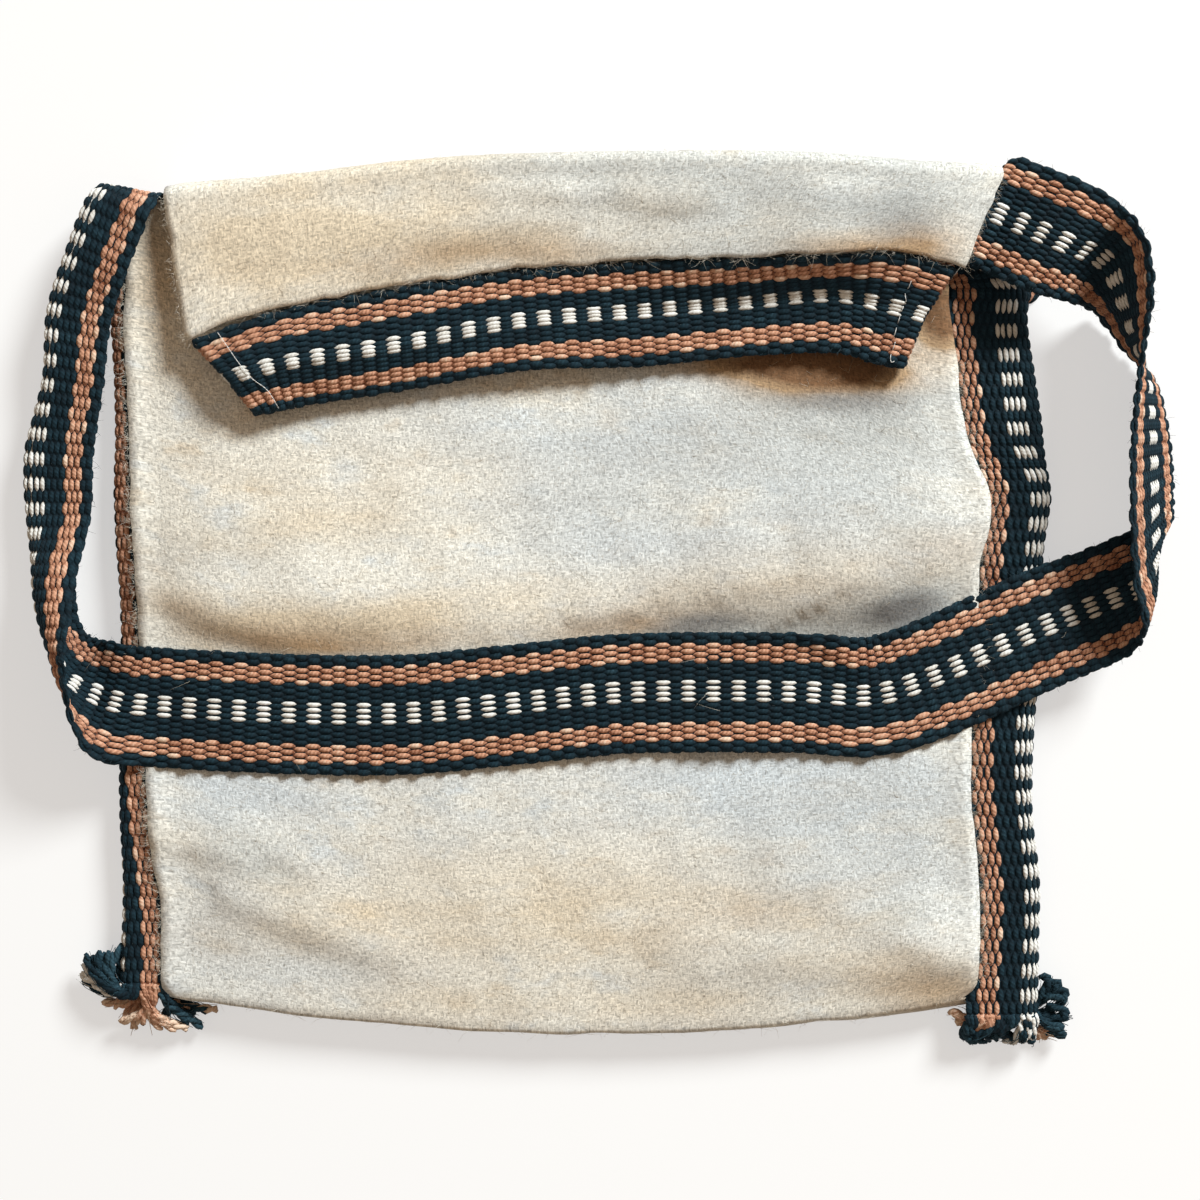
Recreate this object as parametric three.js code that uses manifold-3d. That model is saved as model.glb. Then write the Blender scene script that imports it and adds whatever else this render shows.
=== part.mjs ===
// Handwoven wool shoulder bag with a flap, lying on its back, with its strap thrown across the front.
// Millimetres. +X runs to the bag's right, +Y towards the flap's fold, +Z up from the back panel.
// The origin is the middle of the back panel's outside face.

import * as THREE from 'three';
import { mergeVertices } from 'three/addons/utils/BufferGeometryUtils.js';
import Module from 'manifold-3d';

const wasm = await Module();
wasm.setup();

// Driving dimensions of the wool cloth
const PANEL_WIDTH = 292;
const PANEL_HEIGHT = 300;
const CLOTH_THICKNESS = 2.4;
const INSIDE_GAP = 7;
const FRONT_CROWN = 2;
const FRONT_SHIFT = -13.5;
const MOUTH_DROP = 13;
const UNDER_FLAP_GAP = 7;
const FLAP_WIDTH = 294;
const FLAP_SHIFT = -6.5;
const FLAP_TAPER = 11.5;
const FLAP_DROP = 43;
const FLAP_RISE = 9.4;

// Driving dimensions of the woven band
const BAND_WIDTH = 41.6;
const BAND_THICKNESS = 2.4;
const CREASE_RADIUS = 3.2;
const LEFT_TURN_RADIUS = 5.8;
const LEFT_TURN_SLANT = 14;
const RIGHT_TURN_RADIUS = 3.6;
const RIGHT_TURN_SLANT = 42.7;
const RIGHT_STRAP_LEAN = 20.5;
const HEM_LENGTH = 12;
const HEM_RADIUS = 1.9;
const FRINGE_LENGTH = 18;
const FRINGE_YARN = 4.4;

// Clearances
const SEAM_GAP = 0.6;
const LAY_GAP = 0.4;
const CORNER_GAP = 1;

// Colours
const WOOL_CREAM = 0xe2d8c3;
const BAND_NAVY = 0x10222c;

// Values that follow from the dimensions above
const HALF_HEIGHT = PANEL_HEIGHT / 2;
const LEFT = FRONT_SHIFT - PANEL_WIDTH / 2;
const RIGHT = FRONT_SHIFT + PANEL_WIDTH / 2;
const BACK_Z = CLOTH_THICKNESS / 2;
const FRONT_Z = BACK_Z + CLOTH_THICKNESS + INSIDE_GAP;
const FLAP_Z = FRONT_Z + CLOTH_THICKNESS + UNDER_FLAP_GAP;
const BOTTOM_RADIUS = (FRONT_Z - BACK_Z) / 2;
const TOP_RADIUS = (FLAP_Z - BACK_Z) / 2;
const GUSSET_LOW_Z = Math.max(BACK_Z, BAND_THICKNESS / 2);
const GUSSET_RADIUS = (FRONT_Z - GUSSET_LOW_Z) / 2;
const GUSSET_MID_Z = (FRONT_Z + GUSSET_LOW_Z) / 2;
const GUSSET_FLAT = BAND_WIDTH - Math.PI * GUSSET_RADIUS;

const UP = new THREE.Vector3(0, 0, 1);
const vec = (x, y, z) => new THREE.Vector3(x, y, z);
const lerp = THREE.MathUtils.lerp;
const clamp = THREE.MathUtils.clamp;
const radians = THREE.MathUtils.degToRad;

// A smooth curve through [position, value] pairs
function profile(points) {
  const positions = points.map((point) => point[0]);
  const values = points.map((point) => point[1]);
  const curve = new THREE.CubicInterpolant(positions, values, 1);
  return (at) => curve.evaluate(at)[0];
}

// Outlines of the folded cloth
// Positions run up the bag from -1, the bottom fold, to 1, the top fold, or across it from 0 to 1.
const leftWander = profile([[-0.97, 5.2], [-0.83, 4], [-0.47, -0.3], [-0.05, -1], [0.47, -4.9],
  [0.92, -6.3]]);
const rightWander = profile([[-0.97, 4.2], [-0.83, 3.5], [-0.47, -1.1], [0.24, 2.4], [0.71, -6.5]]);
const topBow = profile([[0, -2.6], [0.15, 1], [0.3, 6], [0.42, 8], [0.75, 8], [0.92, 4.5], [1, 4]]);
const bottomBow = profile([[0, 8], [0.1, 4], [0.25, -1], [0.5, -4.5], [0.75, -2], [0.92, 3.5], [1, 7]]);

// Shares of the mouth's, the flap edge's and the flap rise's own sizes, across the bag
const mouthShare = profile([[0, 1.77], [0.2, 1], [0.6, 0.92], [0.85, 1.6], [0.94, 2.85], [1, 3.6]]);
const flapDropShare = profile([[0, 1.32], [0.12, 1.12], [0.27, 1], [0.42, 1], [0.58, 0.91], [0.83, 0.88],
  [1, 0.93]]);
const flapRiseShare = profile([[0, 0.05], [0.27, 0.15], [0.42, 0.28], [0.58, 0.45], [0.71, 0.76], [0.83, 1],
  [1, 0.55]]);

// How much flat band lies on the front side of each gusset, up the bag, in millimetres
const leftShare = profile([[-0.95, 9], [-0.71, 7], [-0.47, 6.9], [-0.05, 4.4], [0.21, 4.7], [0.47, 2.6],
  [0.79, 4.5]]);
const rightShare = profile([[-0.95, 14.5], [-0.7, 17], [-0.45, 16], [-0.15, 17.8], [0.1, 18.6], [0.33, 20.6],
  [0.65, 21.4]]);

const frontLeft = (y) => LEFT + leftWander(y / HALF_HEIGHT);
const frontRight = (y) => RIGHT + rightWander(y / HALF_HEIGHT);

// The seams and the crease of a gusset at height y: side is -1 on the left and 1 on the right
function gussetAt(side, y) {
  const up = y / HALF_HEIGHT;
  const front = (side < 0 ? frontLeft(y) : frontRight(y)) + side * SEAM_GAP;
  const share = side < 0 ? leftShare(up) : rightShare(up);
  const crease = front + side * share;
  const back = crease - side * (GUSSET_FLAT - share);
  return { crease, share, back };
}

const LEFT_GUSSET_TOP = 0.79 * HALF_HEIGHT;
const RIGHT_GUSSET_TOP = 0.65 * HALF_HEIGHT;
const FOOT_RISE = 11.5;
const GUSSET_FOOT = -HALF_HEIGHT + FOOT_RISE;
const GUSSET_ROW_STEP = 20;

// Above the gussets the back panel's edges run over to the flap's corners
const leftCorner = profile([[0, 0], [0.09, 0.16], [0.13, 0.72], [0.16, 0.95], [0.2, 1]]);
function backLeft(y) {
  const seam = gussetAt(-1, Math.min(y, LEFT_GUSSET_TOP)).back + SEAM_GAP;
  const share = leftCorner(Math.max(0, (y - LEFT_GUSSET_TOP) / HALF_HEIGHT));
  return lerp(seam, FLAP_SHIFT - FLAP_WIDTH / 2, share);
}
function backRight(y) {
  const seam = gussetAt(1, Math.min(y, RIGHT_GUSSET_TOP)).back - SEAM_GAP;
  const share = clamp((y - RIGHT_GUSSET_TOP) / (HALF_HEIGHT - RIGHT_GUSSET_TOP), 0, 1);
  return lerp(seam, FLAP_SHIFT + FLAP_WIDTH / 2, share);
}

const topEdge = (u) => HALF_HEIGHT + topBow(u);
const topTangent = (u) => topEdge(u) - CLOTH_THICKNESS / 2 - TOP_RADIUS;
const bottomTangent = (u) => -HALF_HEIGHT + bottomBow(u) + CLOTH_THICKNESS / 2 + BOTTOM_RADIUS;
const mouthEdge = (u) => HALF_HEIGHT - MOUTH_DROP * mouthShare(u);

// A place on the front panel, by its share across from the left edge and up from the middle
const onFront = (across, up) => new THREE.Vector2(LEFT + across * PANEL_WIDTH, up * HALF_HEIGHT);

// Soft folds of the front panel: each is a low ridge along a line
const FRONT_FOLDS = [
  { from: [0.005, -0.05], to: [0.33, -0.01], height: 1.6, spread: 9 },
  { from: [0.85, 0.03], to: [0.99, 0.11], height: 1.4, spread: 10 },
  { from: [0.07, -0.79], to: [0.34, -0.67], height: 1.4, spread: 11 },
];
function foldHeight(fold, x, y) {
  const from = onFront(...fold.from);
  const line = onFront(...fold.to).sub(from);
  const toPoint = new THREE.Vector2(x, y).sub(from);
  const along = clamp(toPoint.dot(line) / line.lengthSq(), 0, 1);
  const distance = toPoint.sub(line.multiplyScalar(along)).length();
  return fold.height * Math.exp(-((distance / fold.spread) ** 2));
}
function frontMidZ(x, y) {
  const acrossShare = clamp((2 * (x - FRONT_SHIFT)) / PANEL_WIDTH, -1, 1);
  const upShare = clamp(y / HALF_HEIGHT, -1, 1);
  const edge = (1 - acrossShare ** 4) * (1 - upShare ** 4);
  const folds = FRONT_FOLDS.reduce((sum, fold) => sum + foldHeight(fold, x, y), 0);
  return FRONT_Z + edge * (FRONT_CROWN + folds);
}

// Closed solid of a sheet: rows of points on its middle surface and the half thickness of each column
function sheetSolid(rows, halfThickness) {
  const rowCount = rows.length;
  const columnCount = rows[0].length;
  const positions = [];
  const normalAt = (i, j) => {
    const alongRow = rows[i][Math.min(j + 1, columnCount - 1)].clone().sub(rows[i][Math.max(j - 1, 0)]);
    const alongColumn = rows[Math.min(i + 1, rowCount - 1)][j].clone().sub(rows[Math.max(i - 1, 0)][j]);
    return alongRow.cross(alongColumn).normalize();
  };
  for (const side of [1, -1]) {
    for (let i = 0; i < rowCount; i += 1) {
      for (let j = 0; j < columnCount; j += 1) {
        const offset = normalAt(i, j).multiplyScalar(side * halfThickness(j));
        positions.push(...rows[i][j].clone().add(offset));
      }
    }
  }
  const faces = [];
  const under = rowCount * columnCount;
  const quad = (a, b, c, d) => faces.push(a, b, c, a, c, d);
  for (let i = 0; i + 1 < rowCount; i += 1) {
    for (let j = 0; j + 1 < columnCount; j += 1) {
      const a = i * columnCount + j;
      const b = a + columnCount;
      quad(a, a + 1, b + 1, b);
      quad(under + a, under + b, under + b + 1, under + a + 1);
    }
  }
  const rim = [];
  for (let j = 0; j + 1 < columnCount; j += 1) rim.push(j);
  for (let i = 0; i + 1 < rowCount; i += 1) rim.push(i * columnCount + columnCount - 1);
  for (let j = columnCount - 1; j > 0; j -= 1) rim.push((rowCount - 1) * columnCount + j);
  for (let i = rowCount - 1; i > 0; i -= 1) rim.push(i * columnCount);
  rim.forEach((vertex, index) => {
    const next = rim[(index + 1) % rim.length];
    quad(vertex, under + vertex, under + next, next);
  });
  const geometry = new THREE.BufferGeometry();
  geometry.setAttribute('position', new THREE.Float32BufferAttribute(positions, 3));
  geometry.setIndex(faces);
  return geometry;
}

// Wool cloth: front panel, bottom fold, back panel, top fold and flap as one sheet
const CLOTH_COLUMNS = 18;
const FRONT_ROWS = 15;
const BACK_ROWS = 14;
const FLAP_ROWS = 6;
const FOLD_STEPS = 6;

function clothRow(pointAt) {
  return Array.from({ length: CLOTH_COLUMNS + 1 }, (_, j) => pointAt(j / CLOTH_COLUMNS));
}
const flapLeft = (share) => FLAP_SHIFT - FLAP_WIDTH / 2 + FLAP_TAPER * share;
const flapRight = (share) => FLAP_SHIFT + FLAP_WIDTH / 2 - FLAP_TAPER * share;
function flapEdge(u) {
  const x = lerp(flapLeft(1), flapRight(1), u);
  return vec(x, topEdge(u) - FLAP_DROP * flapDropShare(u), FLAP_Z + FLAP_RISE * flapRiseShare(u));
}

function clothRows() {
  const rows = [];
  for (let i = 0; i <= FRONT_ROWS; i += 1) {
    const down = i / FRONT_ROWS;
    const heightAt = (u) => lerp(mouthEdge(u), bottomTangent(u), down);
    rows.push(clothRow((u) => {
      const x = lerp(frontLeft(heightAt(0)), frontRight(heightAt(1)), u);
      return vec(x, heightAt(u), frontMidZ(x, heightAt(u)));
    }));
  }
  for (let i = 1; i < FOLD_STEPS; i += 1) {
    const turn = (Math.PI * i) / FOLD_STEPS;
    const share = (1 - Math.cos(turn)) / 2;
    rows.push(clothRow((u) => {
      const leftX = lerp(frontLeft(bottomTangent(0)), backLeft(bottomTangent(0)), share);
      const rightX = lerp(frontRight(bottomTangent(1)), backRight(bottomTangent(1)), share);
      const y = bottomTangent(u) - BOTTOM_RADIUS * Math.sin(turn);
      return vec(lerp(leftX, rightX, u), y, FRONT_Z - 2 * BOTTOM_RADIUS * share);
    }));
  }
  for (let i = 0; i <= BACK_ROWS; i += 1) {
    const upward = i / BACK_ROWS;
    const heightAt = (u) => lerp(bottomTangent(u), topTangent(u), upward);
    rows.push(clothRow((u) => {
      const x = lerp(backLeft(heightAt(0)), backRight(heightAt(1)), u);
      return vec(x, heightAt(u), BACK_Z);
    }));
  }
  for (let i = 1; i < FOLD_STEPS; i += 1) {
    const turn = (Math.PI * i) / FOLD_STEPS;
    const share = (1 - Math.cos(turn)) / 2;
    rows.push(clothRow((u) => {
      const leftX = lerp(backLeft(topTangent(0)), flapLeft(0), share);
      const rightX = lerp(backRight(topTangent(1)), flapRight(0), share);
      const y = topTangent(u) + TOP_RADIUS * Math.sin(turn);
      return vec(lerp(leftX, rightX, u), y, BACK_Z + 2 * TOP_RADIUS * share);
    }));
  }
  for (let i = 0; i <= FLAP_ROWS; i += 1) {
    const down = i / FLAP_ROWS;
    rows.push(clothRow((u) => {
      const end = flapEdge(u);
      const x = lerp(lerp(flapLeft(0), flapRight(0), u), end.x, down);
      const y = lerp(topTangent(u), end.y, down);
      return vec(x, y, lerp(FLAP_Z, end.z, down * down));
    }));
  }
  return rows;
}

// Stripes of the band from edge B to edge A: navy, terracotta, navy, white ladder, navy, terracotta, navy
const STRIPES = [3.6, 6.5, 6.6, 8.2, 6.6, 6.5, 3.6];
const STRIPE_TOTAL = STRIPES.reduce((sum, width) => sum + width, 0);
const BORDER_THICKNESS = 0.72;
const EDGE_THICKNESS = 0.5;

// Two columns a stripe, at its border and its middle, as shares of the band's width
function bandColumns() {
  const shares = [];
  let start = 0;
  for (const width of STRIPES) {
    shares.push(start / STRIPE_TOTAL, (start + width / 2) / STRIPE_TOTAL);
    start += width;
  }
  shares.push(1);
  return shares;
}
const COLUMNS = bandColumns();

// Each stripe is a lengthwise ridge, thinner at its borders and at the band's two edges
function bandHalfThickness(column) {
  const last = COLUMNS.length - 1;
  if (column === 0 || column === last) return (EDGE_THICKNESS * BAND_THICKNESS) / 2;
  return ((column % 2 === 1 ? 1 : BORDER_THICKNESS) * BAND_THICKNESS) / 2;
}

// Section of a band folded lengthwise round a crease
// legs points from the crease to the edges and rise points to the side that edge A lies on
function foldedSection({ centre, legs, rise, radius, lengthA, tiltA = 0, tiltB = 0 }) {
  const angleA = Math.PI / 2 - radians(tiltA);
  const angleB = Math.PI / 2 - radians(tiltB);
  const lengthB = BAND_WIDTH - lengthA - radius * (angleA + angleB);
  const onArc = (angle) => centre.clone()
    .addScaledVector(legs, -radius * Math.cos(angle))
    .addScaledVector(rise, radius * Math.sin(angle));
  return COLUMNS.map((share) => {
    const run = share * BAND_WIDTH - lengthB;
    if (run < 0) {
      return onArc(-angleB)
        .addScaledVector(legs, -run * Math.sin(angleB))
        .addScaledVector(rise, run * Math.cos(angleB));
    }
    const past = run - radius * (angleA + angleB);
    if (past < 0) return onArc(run / radius - angleB);
    return onArc(angleA)
      .addScaledVector(legs, past * Math.sin(angleA))
      .addScaledVector(rise, past * Math.cos(angleA));
  });
}

// Section of an open band between its edges: slack becomes a cup that swells towards bulge
function cuppedSection(edgeA, edgeB, bulge) {
  const chord = edgeA.clone().sub(edgeB);
  const middle = edgeA.clone().add(edgeB).multiplyScalar(0.5);
  const ratio = Math.min(chord.length() / BAND_WIDTH, 0.9999);
  let half = Math.sqrt(6 * (1 - ratio));
  for (let step = 0; step < 20; step += 1) {
    half -= (Math.sin(half) - ratio * half) / (Math.cos(half) - ratio);
  }
  const radius = BAND_WIDTH / (2 * half);
  const across = chord.normalize();
  const outward = bulge.clone().addScaledVector(across, -bulge.dot(across)).normalize();
  return COLUMNS.map((share) => {
    const angle = (2 * share - 1) * half;
    return middle.clone()
      .addScaledVector(across, radius * Math.sin(angle))
      .addScaledVector(outward, radius * (Math.cos(angle) - Math.cos(half)));
  });
}

// Section of the strap where it lies on the front panel
function laidSection(x, y, heading) {
  const across = vec(Math.sin(heading), -Math.cos(heading), 0);
  return COLUMNS.map((share) => {
    const point = vec(x, y, 0).addScaledVector(across, (share - 0.5) * BAND_WIDTH);
    point.z = frontMidZ(point.x, point.y) + (CLOTH_THICKNESS + BAND_THICKNESS) / 2 + LAY_GAP;
    return point;
  });
}

function gussetSection(side, y) {
  const { crease, share } = gussetAt(side, y);
  return foldedSection({
    centre: vec(crease, y, GUSSET_MID_Z),
    legs: vec(-side, 0, 0),
    rise: vec(0, 0, -1),
    radius: GUSSET_RADIUS,
    lengthA: GUSSET_FLAT - share,
  });
}

// Points beside the bag: out from the front panel's edge, and up as a share of half the height
const besideLeft = (out, up, z) => vec(LEFT - out, up * HALF_HEIGHT, z);
const besideRight = (out, up, z) => vec(RIGHT + out, up * HALF_HEIGHT, z);

// The sewn length of a gusset from its frayed foot to its top
function gussetSections(side, top) {
  const count = Math.ceil((top - GUSSET_FOOT) / GUSSET_ROW_STEP);
  return Array.from({ length: count + 1 }, (_, i) => gussetSection(side, lerp(GUSSET_FOOT, top, i / count)));
}

// Left gusset up to the top corner, where the band turns over forwards and down
// The legs are the flat band between the crease and edge A; the drops are below the top fold.
const NECK_LEG = 21.5;
const NECK_DROP = 20;
const TURN_LEG = 19.5;
const TURN_DROP = 12.5;
function leftGussetSections() {
  const sections = gussetSections(-1, LEFT_GUSSET_TOP);
  const corner = flapLeft(0) - LAY_GAP;
  sections.push(foldedSection({
    centre: vec(corner - NECK_LEG + CORNER_GAP, HALF_HEIGHT - NECK_DROP, GUSSET_MID_Z),
    legs: vec(1, 0, 0),
    rise: vec(0, 0, -1),
    radius: (CREASE_RADIUS + GUSSET_RADIUS) / 2,
    lengthA: NECK_LEG,
  }));
  const slope = radians(LEFT_TURN_SLANT);
  const foldLine = vec(-Math.cos(slope), Math.sin(slope), 0);
  const outward = vec(Math.sin(slope), Math.cos(slope), 0);
  const start = vec(corner - TURN_LEG, HALF_HEIGHT - TURN_DROP, GUSSET_MID_Z);
  const slide = Math.PI * LEFT_TURN_RADIUS * Math.tan(slope);
  for (let turn = 0; turn <= 180; turn += 30) {
    const sine = Math.sin(radians(turn));
    const cosine = Math.cos(radians(turn));
    sections.push(foldedSection({
      centre: start.clone()
        .addScaledVector(outward, LEFT_TURN_RADIUS * sine)
        .addScaledVector(UP, LEFT_TURN_RADIUS * (1 - cosine))
        .addScaledVector(foldLine, (slide * turn) / 180),
      legs: foldLine.clone().multiplyScalar(-Math.cos(slope))
        .addScaledVector(outward, Math.sin(slope) * cosine)
        .addScaledVector(UP, Math.sin(slope) * sine),
      rise: outward.clone().multiplyScalar(sine).addScaledVector(UP, -cosine),
      radius: CREASE_RADIUS,
      lengthA: TURN_LEG,
    }));
  }
  return sections;
}

// The strap hangs down the left side creased in half, then rolls over onto the front
function leftStrapSections() {
  const creased = [
    { out: 24, up: 0.83, z: 17, legs: [0.89, -0.45], lengthA: 19.5, tiltA: 0, tiltB: 0 },
    { out: 32, up: 0.675, z: 15, legs: [0.97, -0.24], lengthA: 19.5, tiltA: 0, tiltB: 5 },
    { out: 33.8, up: 0.53, z: 13, legs: [0.98, -0.2], lengthA: 19, tiltA: 5, tiltB: 14 },
    { out: 40.6, up: 0.353, z: 11, legs: [0.995, -0.1], lengthA: 22, tiltA: 8, tiltB: 18 },
    { out: 40.2, up: 0.2, z: 11, legs: [1, 0], lengthA: 22, tiltA: 20, tiltB: 20 },
    { out: 37.6, up: 0.06, z: 13, legs: [1, 0], lengthA: 22.5, tiltA: 44, tiltB: 42 },
    { out: 34, up: -0.05, z: 17, legs: [1, 0], lengthA: 21, tiltA: 60, tiltB: 60 },
  ].map(({ out, up, z, legs, lengthA, tiltA, tiltB }) => foldedSection({
    centre: besideLeft(out, up, z),
    legs: vec(...legs, 0).normalize(),
    rise: UP,
    radius: CREASE_RADIUS,
    lengthA,
    tiltA,
    tiltB,
  }));
  const rolled = [
    { a: [24.6, -0.125, 37.5], b: [24.5, -0.085, 2], bulge: [-1, -0.2, 0] },
    { a: [24.4, -0.19, 36], b: [20.5, -0.095, 4.5], bulge: [-0.7, -0.7, -0.3] },
    { a: [23.4, -0.305, 27], b: [14, -0.1, 12.5], bulge: [-0.2, -0.5, -1] },
    { a: [17.5, -0.372, 19.5], b: [5, -0.112, 14], bulge: [0, -0.2, -1] },
  ].map(({ a, b, bulge }) => cuppedSection(besideLeft(...a), besideLeft(...b), vec(...bulge)));
  return [...creased, ...rolled];
}

// The strap's middle line across the front
const FRONT_LINE = [[0.007, -0.253], [0.068, -0.26], [0.18, -0.269], [0.308, -0.27], [0.425, -0.25],
  [0.565, -0.228], [0.668, -0.217], [0.788, -0.216], [0.877, -0.208], [0.945, -0.18], [1.029, -0.115],
  [1.086, -0.064]];
const FRONT_LINE_STEPS = 16;
function frontStrapSections() {
  const points = FRONT_LINE.map((place) => onFront(...place)).map(({ x, y }) => vec(x, y, 0));
  const middleLine = new THREE.CatmullRomCurve3(points, false, 'centripetal');
  return Array.from({ length: FRONT_LINE_STEPS + 1 }, (_, i) => {
    const point = middleLine.getPointAt(i / FRONT_LINE_STEPS);
    const forward = middleLine.getTangentAt(i / FRONT_LINE_STEPS);
    return laidSection(point.x, point.y, Math.atan2(forward.y, forward.x));
  });
}

// On the right the strap stands on edge B, and leans back into a bowl towards the top corner
function rightStrapSections() {
  return [
    { a: [55, -0.12, 18], b: [39, 0.115, 11.5], bulge: [0.3, 0, -1] },
    { a: [57, -0.06, 27], b: [58, 0.165, 7], bulge: [1, 0.2, -0.6] },
    { a: [52.5, 0.013, 32], b: [72.5, 0.2, 3], bulge: [1, 0, 0] },
    { a: [50, 0.127, 36], b: [73.5, 0.25, 2], bulge: [1, 0, 0] },
    { a: [49.7, 0.275, 37], b: [73, 0.32, 1.8], bulge: [1, 0, 0.3] },
    { a: [49.9, 0.411, 38.5], b: [70.8, 0.431, 1.8], bulge: [1, 0, 0.3] },
    { a: [51.6, 0.514, 40], b: [66.2, 0.527, 1.6], bulge: [1, 0.2, 0.3] },
    { a: [53.5, 0.6, 42], b: [56, 0.597, 1.6], bulge: [1, 0.4, 0] },
    { a: [56.8, 0.707, 39.5], b: [45, 0.686, 3], bulge: [0.8, 0.6, -0.2] },
    { a: [55.2, 0.84, 31], b: [31, 0.705, 11], bulge: [0.5, 0.6, -0.6] },
    { a: [45, 0.945, 22.5], b: [18, 0.718, 14.5], bulge: [0.3, 0.4, -1] },
  ].map(({ a, b, bulge }) => cuppedSection(besideRight(...a), besideRight(...b), vec(...bulge)));
}

// At the right top corner the strap turns over on a slanting fold and goes down as the gusset
const CORNER_IN = 2;
const CORNER_DROP = 14.5;
const CORNER_RUN = [24, -12];
const CORNER_STEP = 4;
function rightCornerSections() {
  const lean = radians(RIGHT_STRAP_LEAN);
  const slant = radians(RIGHT_TURN_SLANT);
  const climb = vec(-Math.sin(lean), Math.cos(lean), 0);
  const across = vec(Math.cos(lean), Math.sin(lean), 0);
  const foldLine = vec(Math.cos(slant), Math.sin(slant), 0);
  const outward = vec(-Math.sin(slant), Math.cos(slant), 0);
  const radius = RIGHT_TURN_RADIUS;
  const start = vec(RIGHT - CORNER_IN, HALF_HEIGHT - CORNER_DROP, FRONT_Z - CLOTH_THICKNESS);
  const halfTurn = Math.PI * radius;
  const folded = (run) => COLUMNS.map((share) => {
    const flat = climb.clone().multiplyScalar(run).addScaledVector(across, (share - 0.5) * BAND_WIDTH);
    const around = flat.dot(outward);
    const point = start.clone().addScaledVector(foldLine, flat.dot(foldLine));
    if (around < 0) return point.addScaledVector(outward, around);
    if (around > halfTurn) {
      return point.addScaledVector(outward, halfTurn - around).addScaledVector(UP, 2 * radius);
    }
    return point.addScaledVector(outward, radius * Math.sin(around / radius))
      .addScaledVector(UP, radius * (1 - Math.cos(around / radius)));
  });
  const sections = [];
  for (let run = CORNER_RUN[0]; run >= CORNER_RUN[1]; run -= CORNER_STEP) sections.push(folded(run));
  return sections;
}

// The gusset's crease opens flat as it comes up to the corner
function rightGussetSections() {
  const opening = [
    { above: 13, share: 23, tilt: 120 },
    { above: 6.5, share: 22, tilt: 60 },
  ].map(({ above, share, tilt }) => {
    const angle = Math.PI - radians(tilt);
    const section = foldedSection({
      centre: vec(gussetAt(1, RIGHT_GUSSET_TOP).crease, RIGHT_GUSSET_TOP + above, GUSSET_MID_Z),
      legs: vec(-1, 0, 0),
      rise: vec(0, 0, -1),
      radius: GUSSET_RADIUS,
      lengthA: BAND_WIDTH - share - GUSSET_RADIUS * angle,
      tiltA: tilt,
    });
    section.forEach((point) => { point.z = Math.max(point.z, GUSSET_LOW_Z); });
    return section;
  });
  return [...opening, ...gussetSections(1, RIGHT_GUSSET_TOP).reverse()];
}

// Smooth loft through the sections, with rows about rowStep apart
function loftRows(sections, rowStep) {
  const curves = COLUMNS.map((_, j) => {
    return new THREE.CatmullRomCurve3(sections.map((section) => section[j]), false, 'centripetal');
  });
  const spans = sections.length - 1;
  const middle = Math.floor(COLUMNS.length / 2);
  const rows = [sections[0]];
  for (let span = 0; span < spans; span += 1) {
    const reach = Math.max(...[0, middle, COLUMNS.length - 1].map((j) => {
      return sections[span][j].distanceTo(sections[span + 1][j]);
    }));
    const steps = Math.max(1, Math.round(reach / rowStep));
    for (let step = 1; step <= steps; step += 1) {
      rows.push(curves.map((curve) => curve.getPoint((span + step / steps) / spans)));
    }
  }
  return rows;
}

// Frayed yarn ends: each leaves the band's end at a share of its width
// Its tip lies out from the gusset's crease, away from the bag, and down from the gusset's foot,
// both as shares of the longest yarn.
const FRINGE_TIPS = [
  { share: 0.43, left: [1.06, -0.56], right: [0.89, 0.28] },
  { share: 0.5, left: [1.17, -0.22], right: [0.83, 0.61] },
  { share: 0.57, left: [0.94, 0.11], right: [0.61, 0.89] },
  { share: 0.36, left: [0.28, 0.83], right: [0.33, 1] },
  { share: 0.64, left: [-0.06, 0.94], right: [-0.06, 1] },
  { share: 0.28, left: [-0.44, 0.94], right: [-0.44, 1] },
  { share: 0.66, left: [-0.83, 0.89], right: [-0.83, 1] },
  { share: 0.22, left: [-1.22, 0.7], right: [-1.22, 0.83] },
  { share: 0.7, left: [-1.44, 0.67], right: [-1.39, 0.67] },
];
const FRINGE_SAG = 0.15;
const FRINGE_FALL = 0.7;
const YARN_SIDES = 6;
const YARN_STEPS = 3;

function yarnGeometry(points) {
  const section = new THREE.Shape();
  for (let side = 0; side < YARN_SIDES; side += 1) {
    const angle = (2 * Math.PI * side) / YARN_SIDES;
    const x = (FRINGE_YARN / 2) * Math.cos(angle);
    const y = (FRINGE_YARN / 2) * Math.sin(angle);
    if (side === 0) section.moveTo(x, y);
    else section.lineTo(x, y);
  }
  section.closePath();
  return new THREE.ExtrudeGeometry(section, {
    steps: YARN_STEPS,
    extrudePath: new THREE.CatmullRomCurve3(points),
  });
}

function fringeYarns(side, endSection) {
  const lowest = FRINGE_YARN / 2 + SEAM_GAP;
  const { crease } = gussetAt(side, GUSSET_FOOT);
  return FRINGE_TIPS.map((tip) => {
    const column = Math.round(tip.share * (COLUMNS.length - 1));
    const root = endSection[column].clone().add(vec(0, FRINGE_YARN / 2, 0));
    root.z = Math.max(root.z, lowest);
    const [out, down] = side < 0 ? tip.left : tip.right;
    const tipX = crease + side * out * FRINGE_LENGTH;
    const end = vec(tipX, GUSSET_FOOT - down * FRINGE_LENGTH, lerp(root.z, lowest, FRINGE_FALL));
    const bend = root.clone().lerp(end, 0.5).add(vec(0, -FRINGE_SAG * FRINGE_LENGTH, 0));
    return yarnGeometry([root, bend, end]);
  });
}

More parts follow.
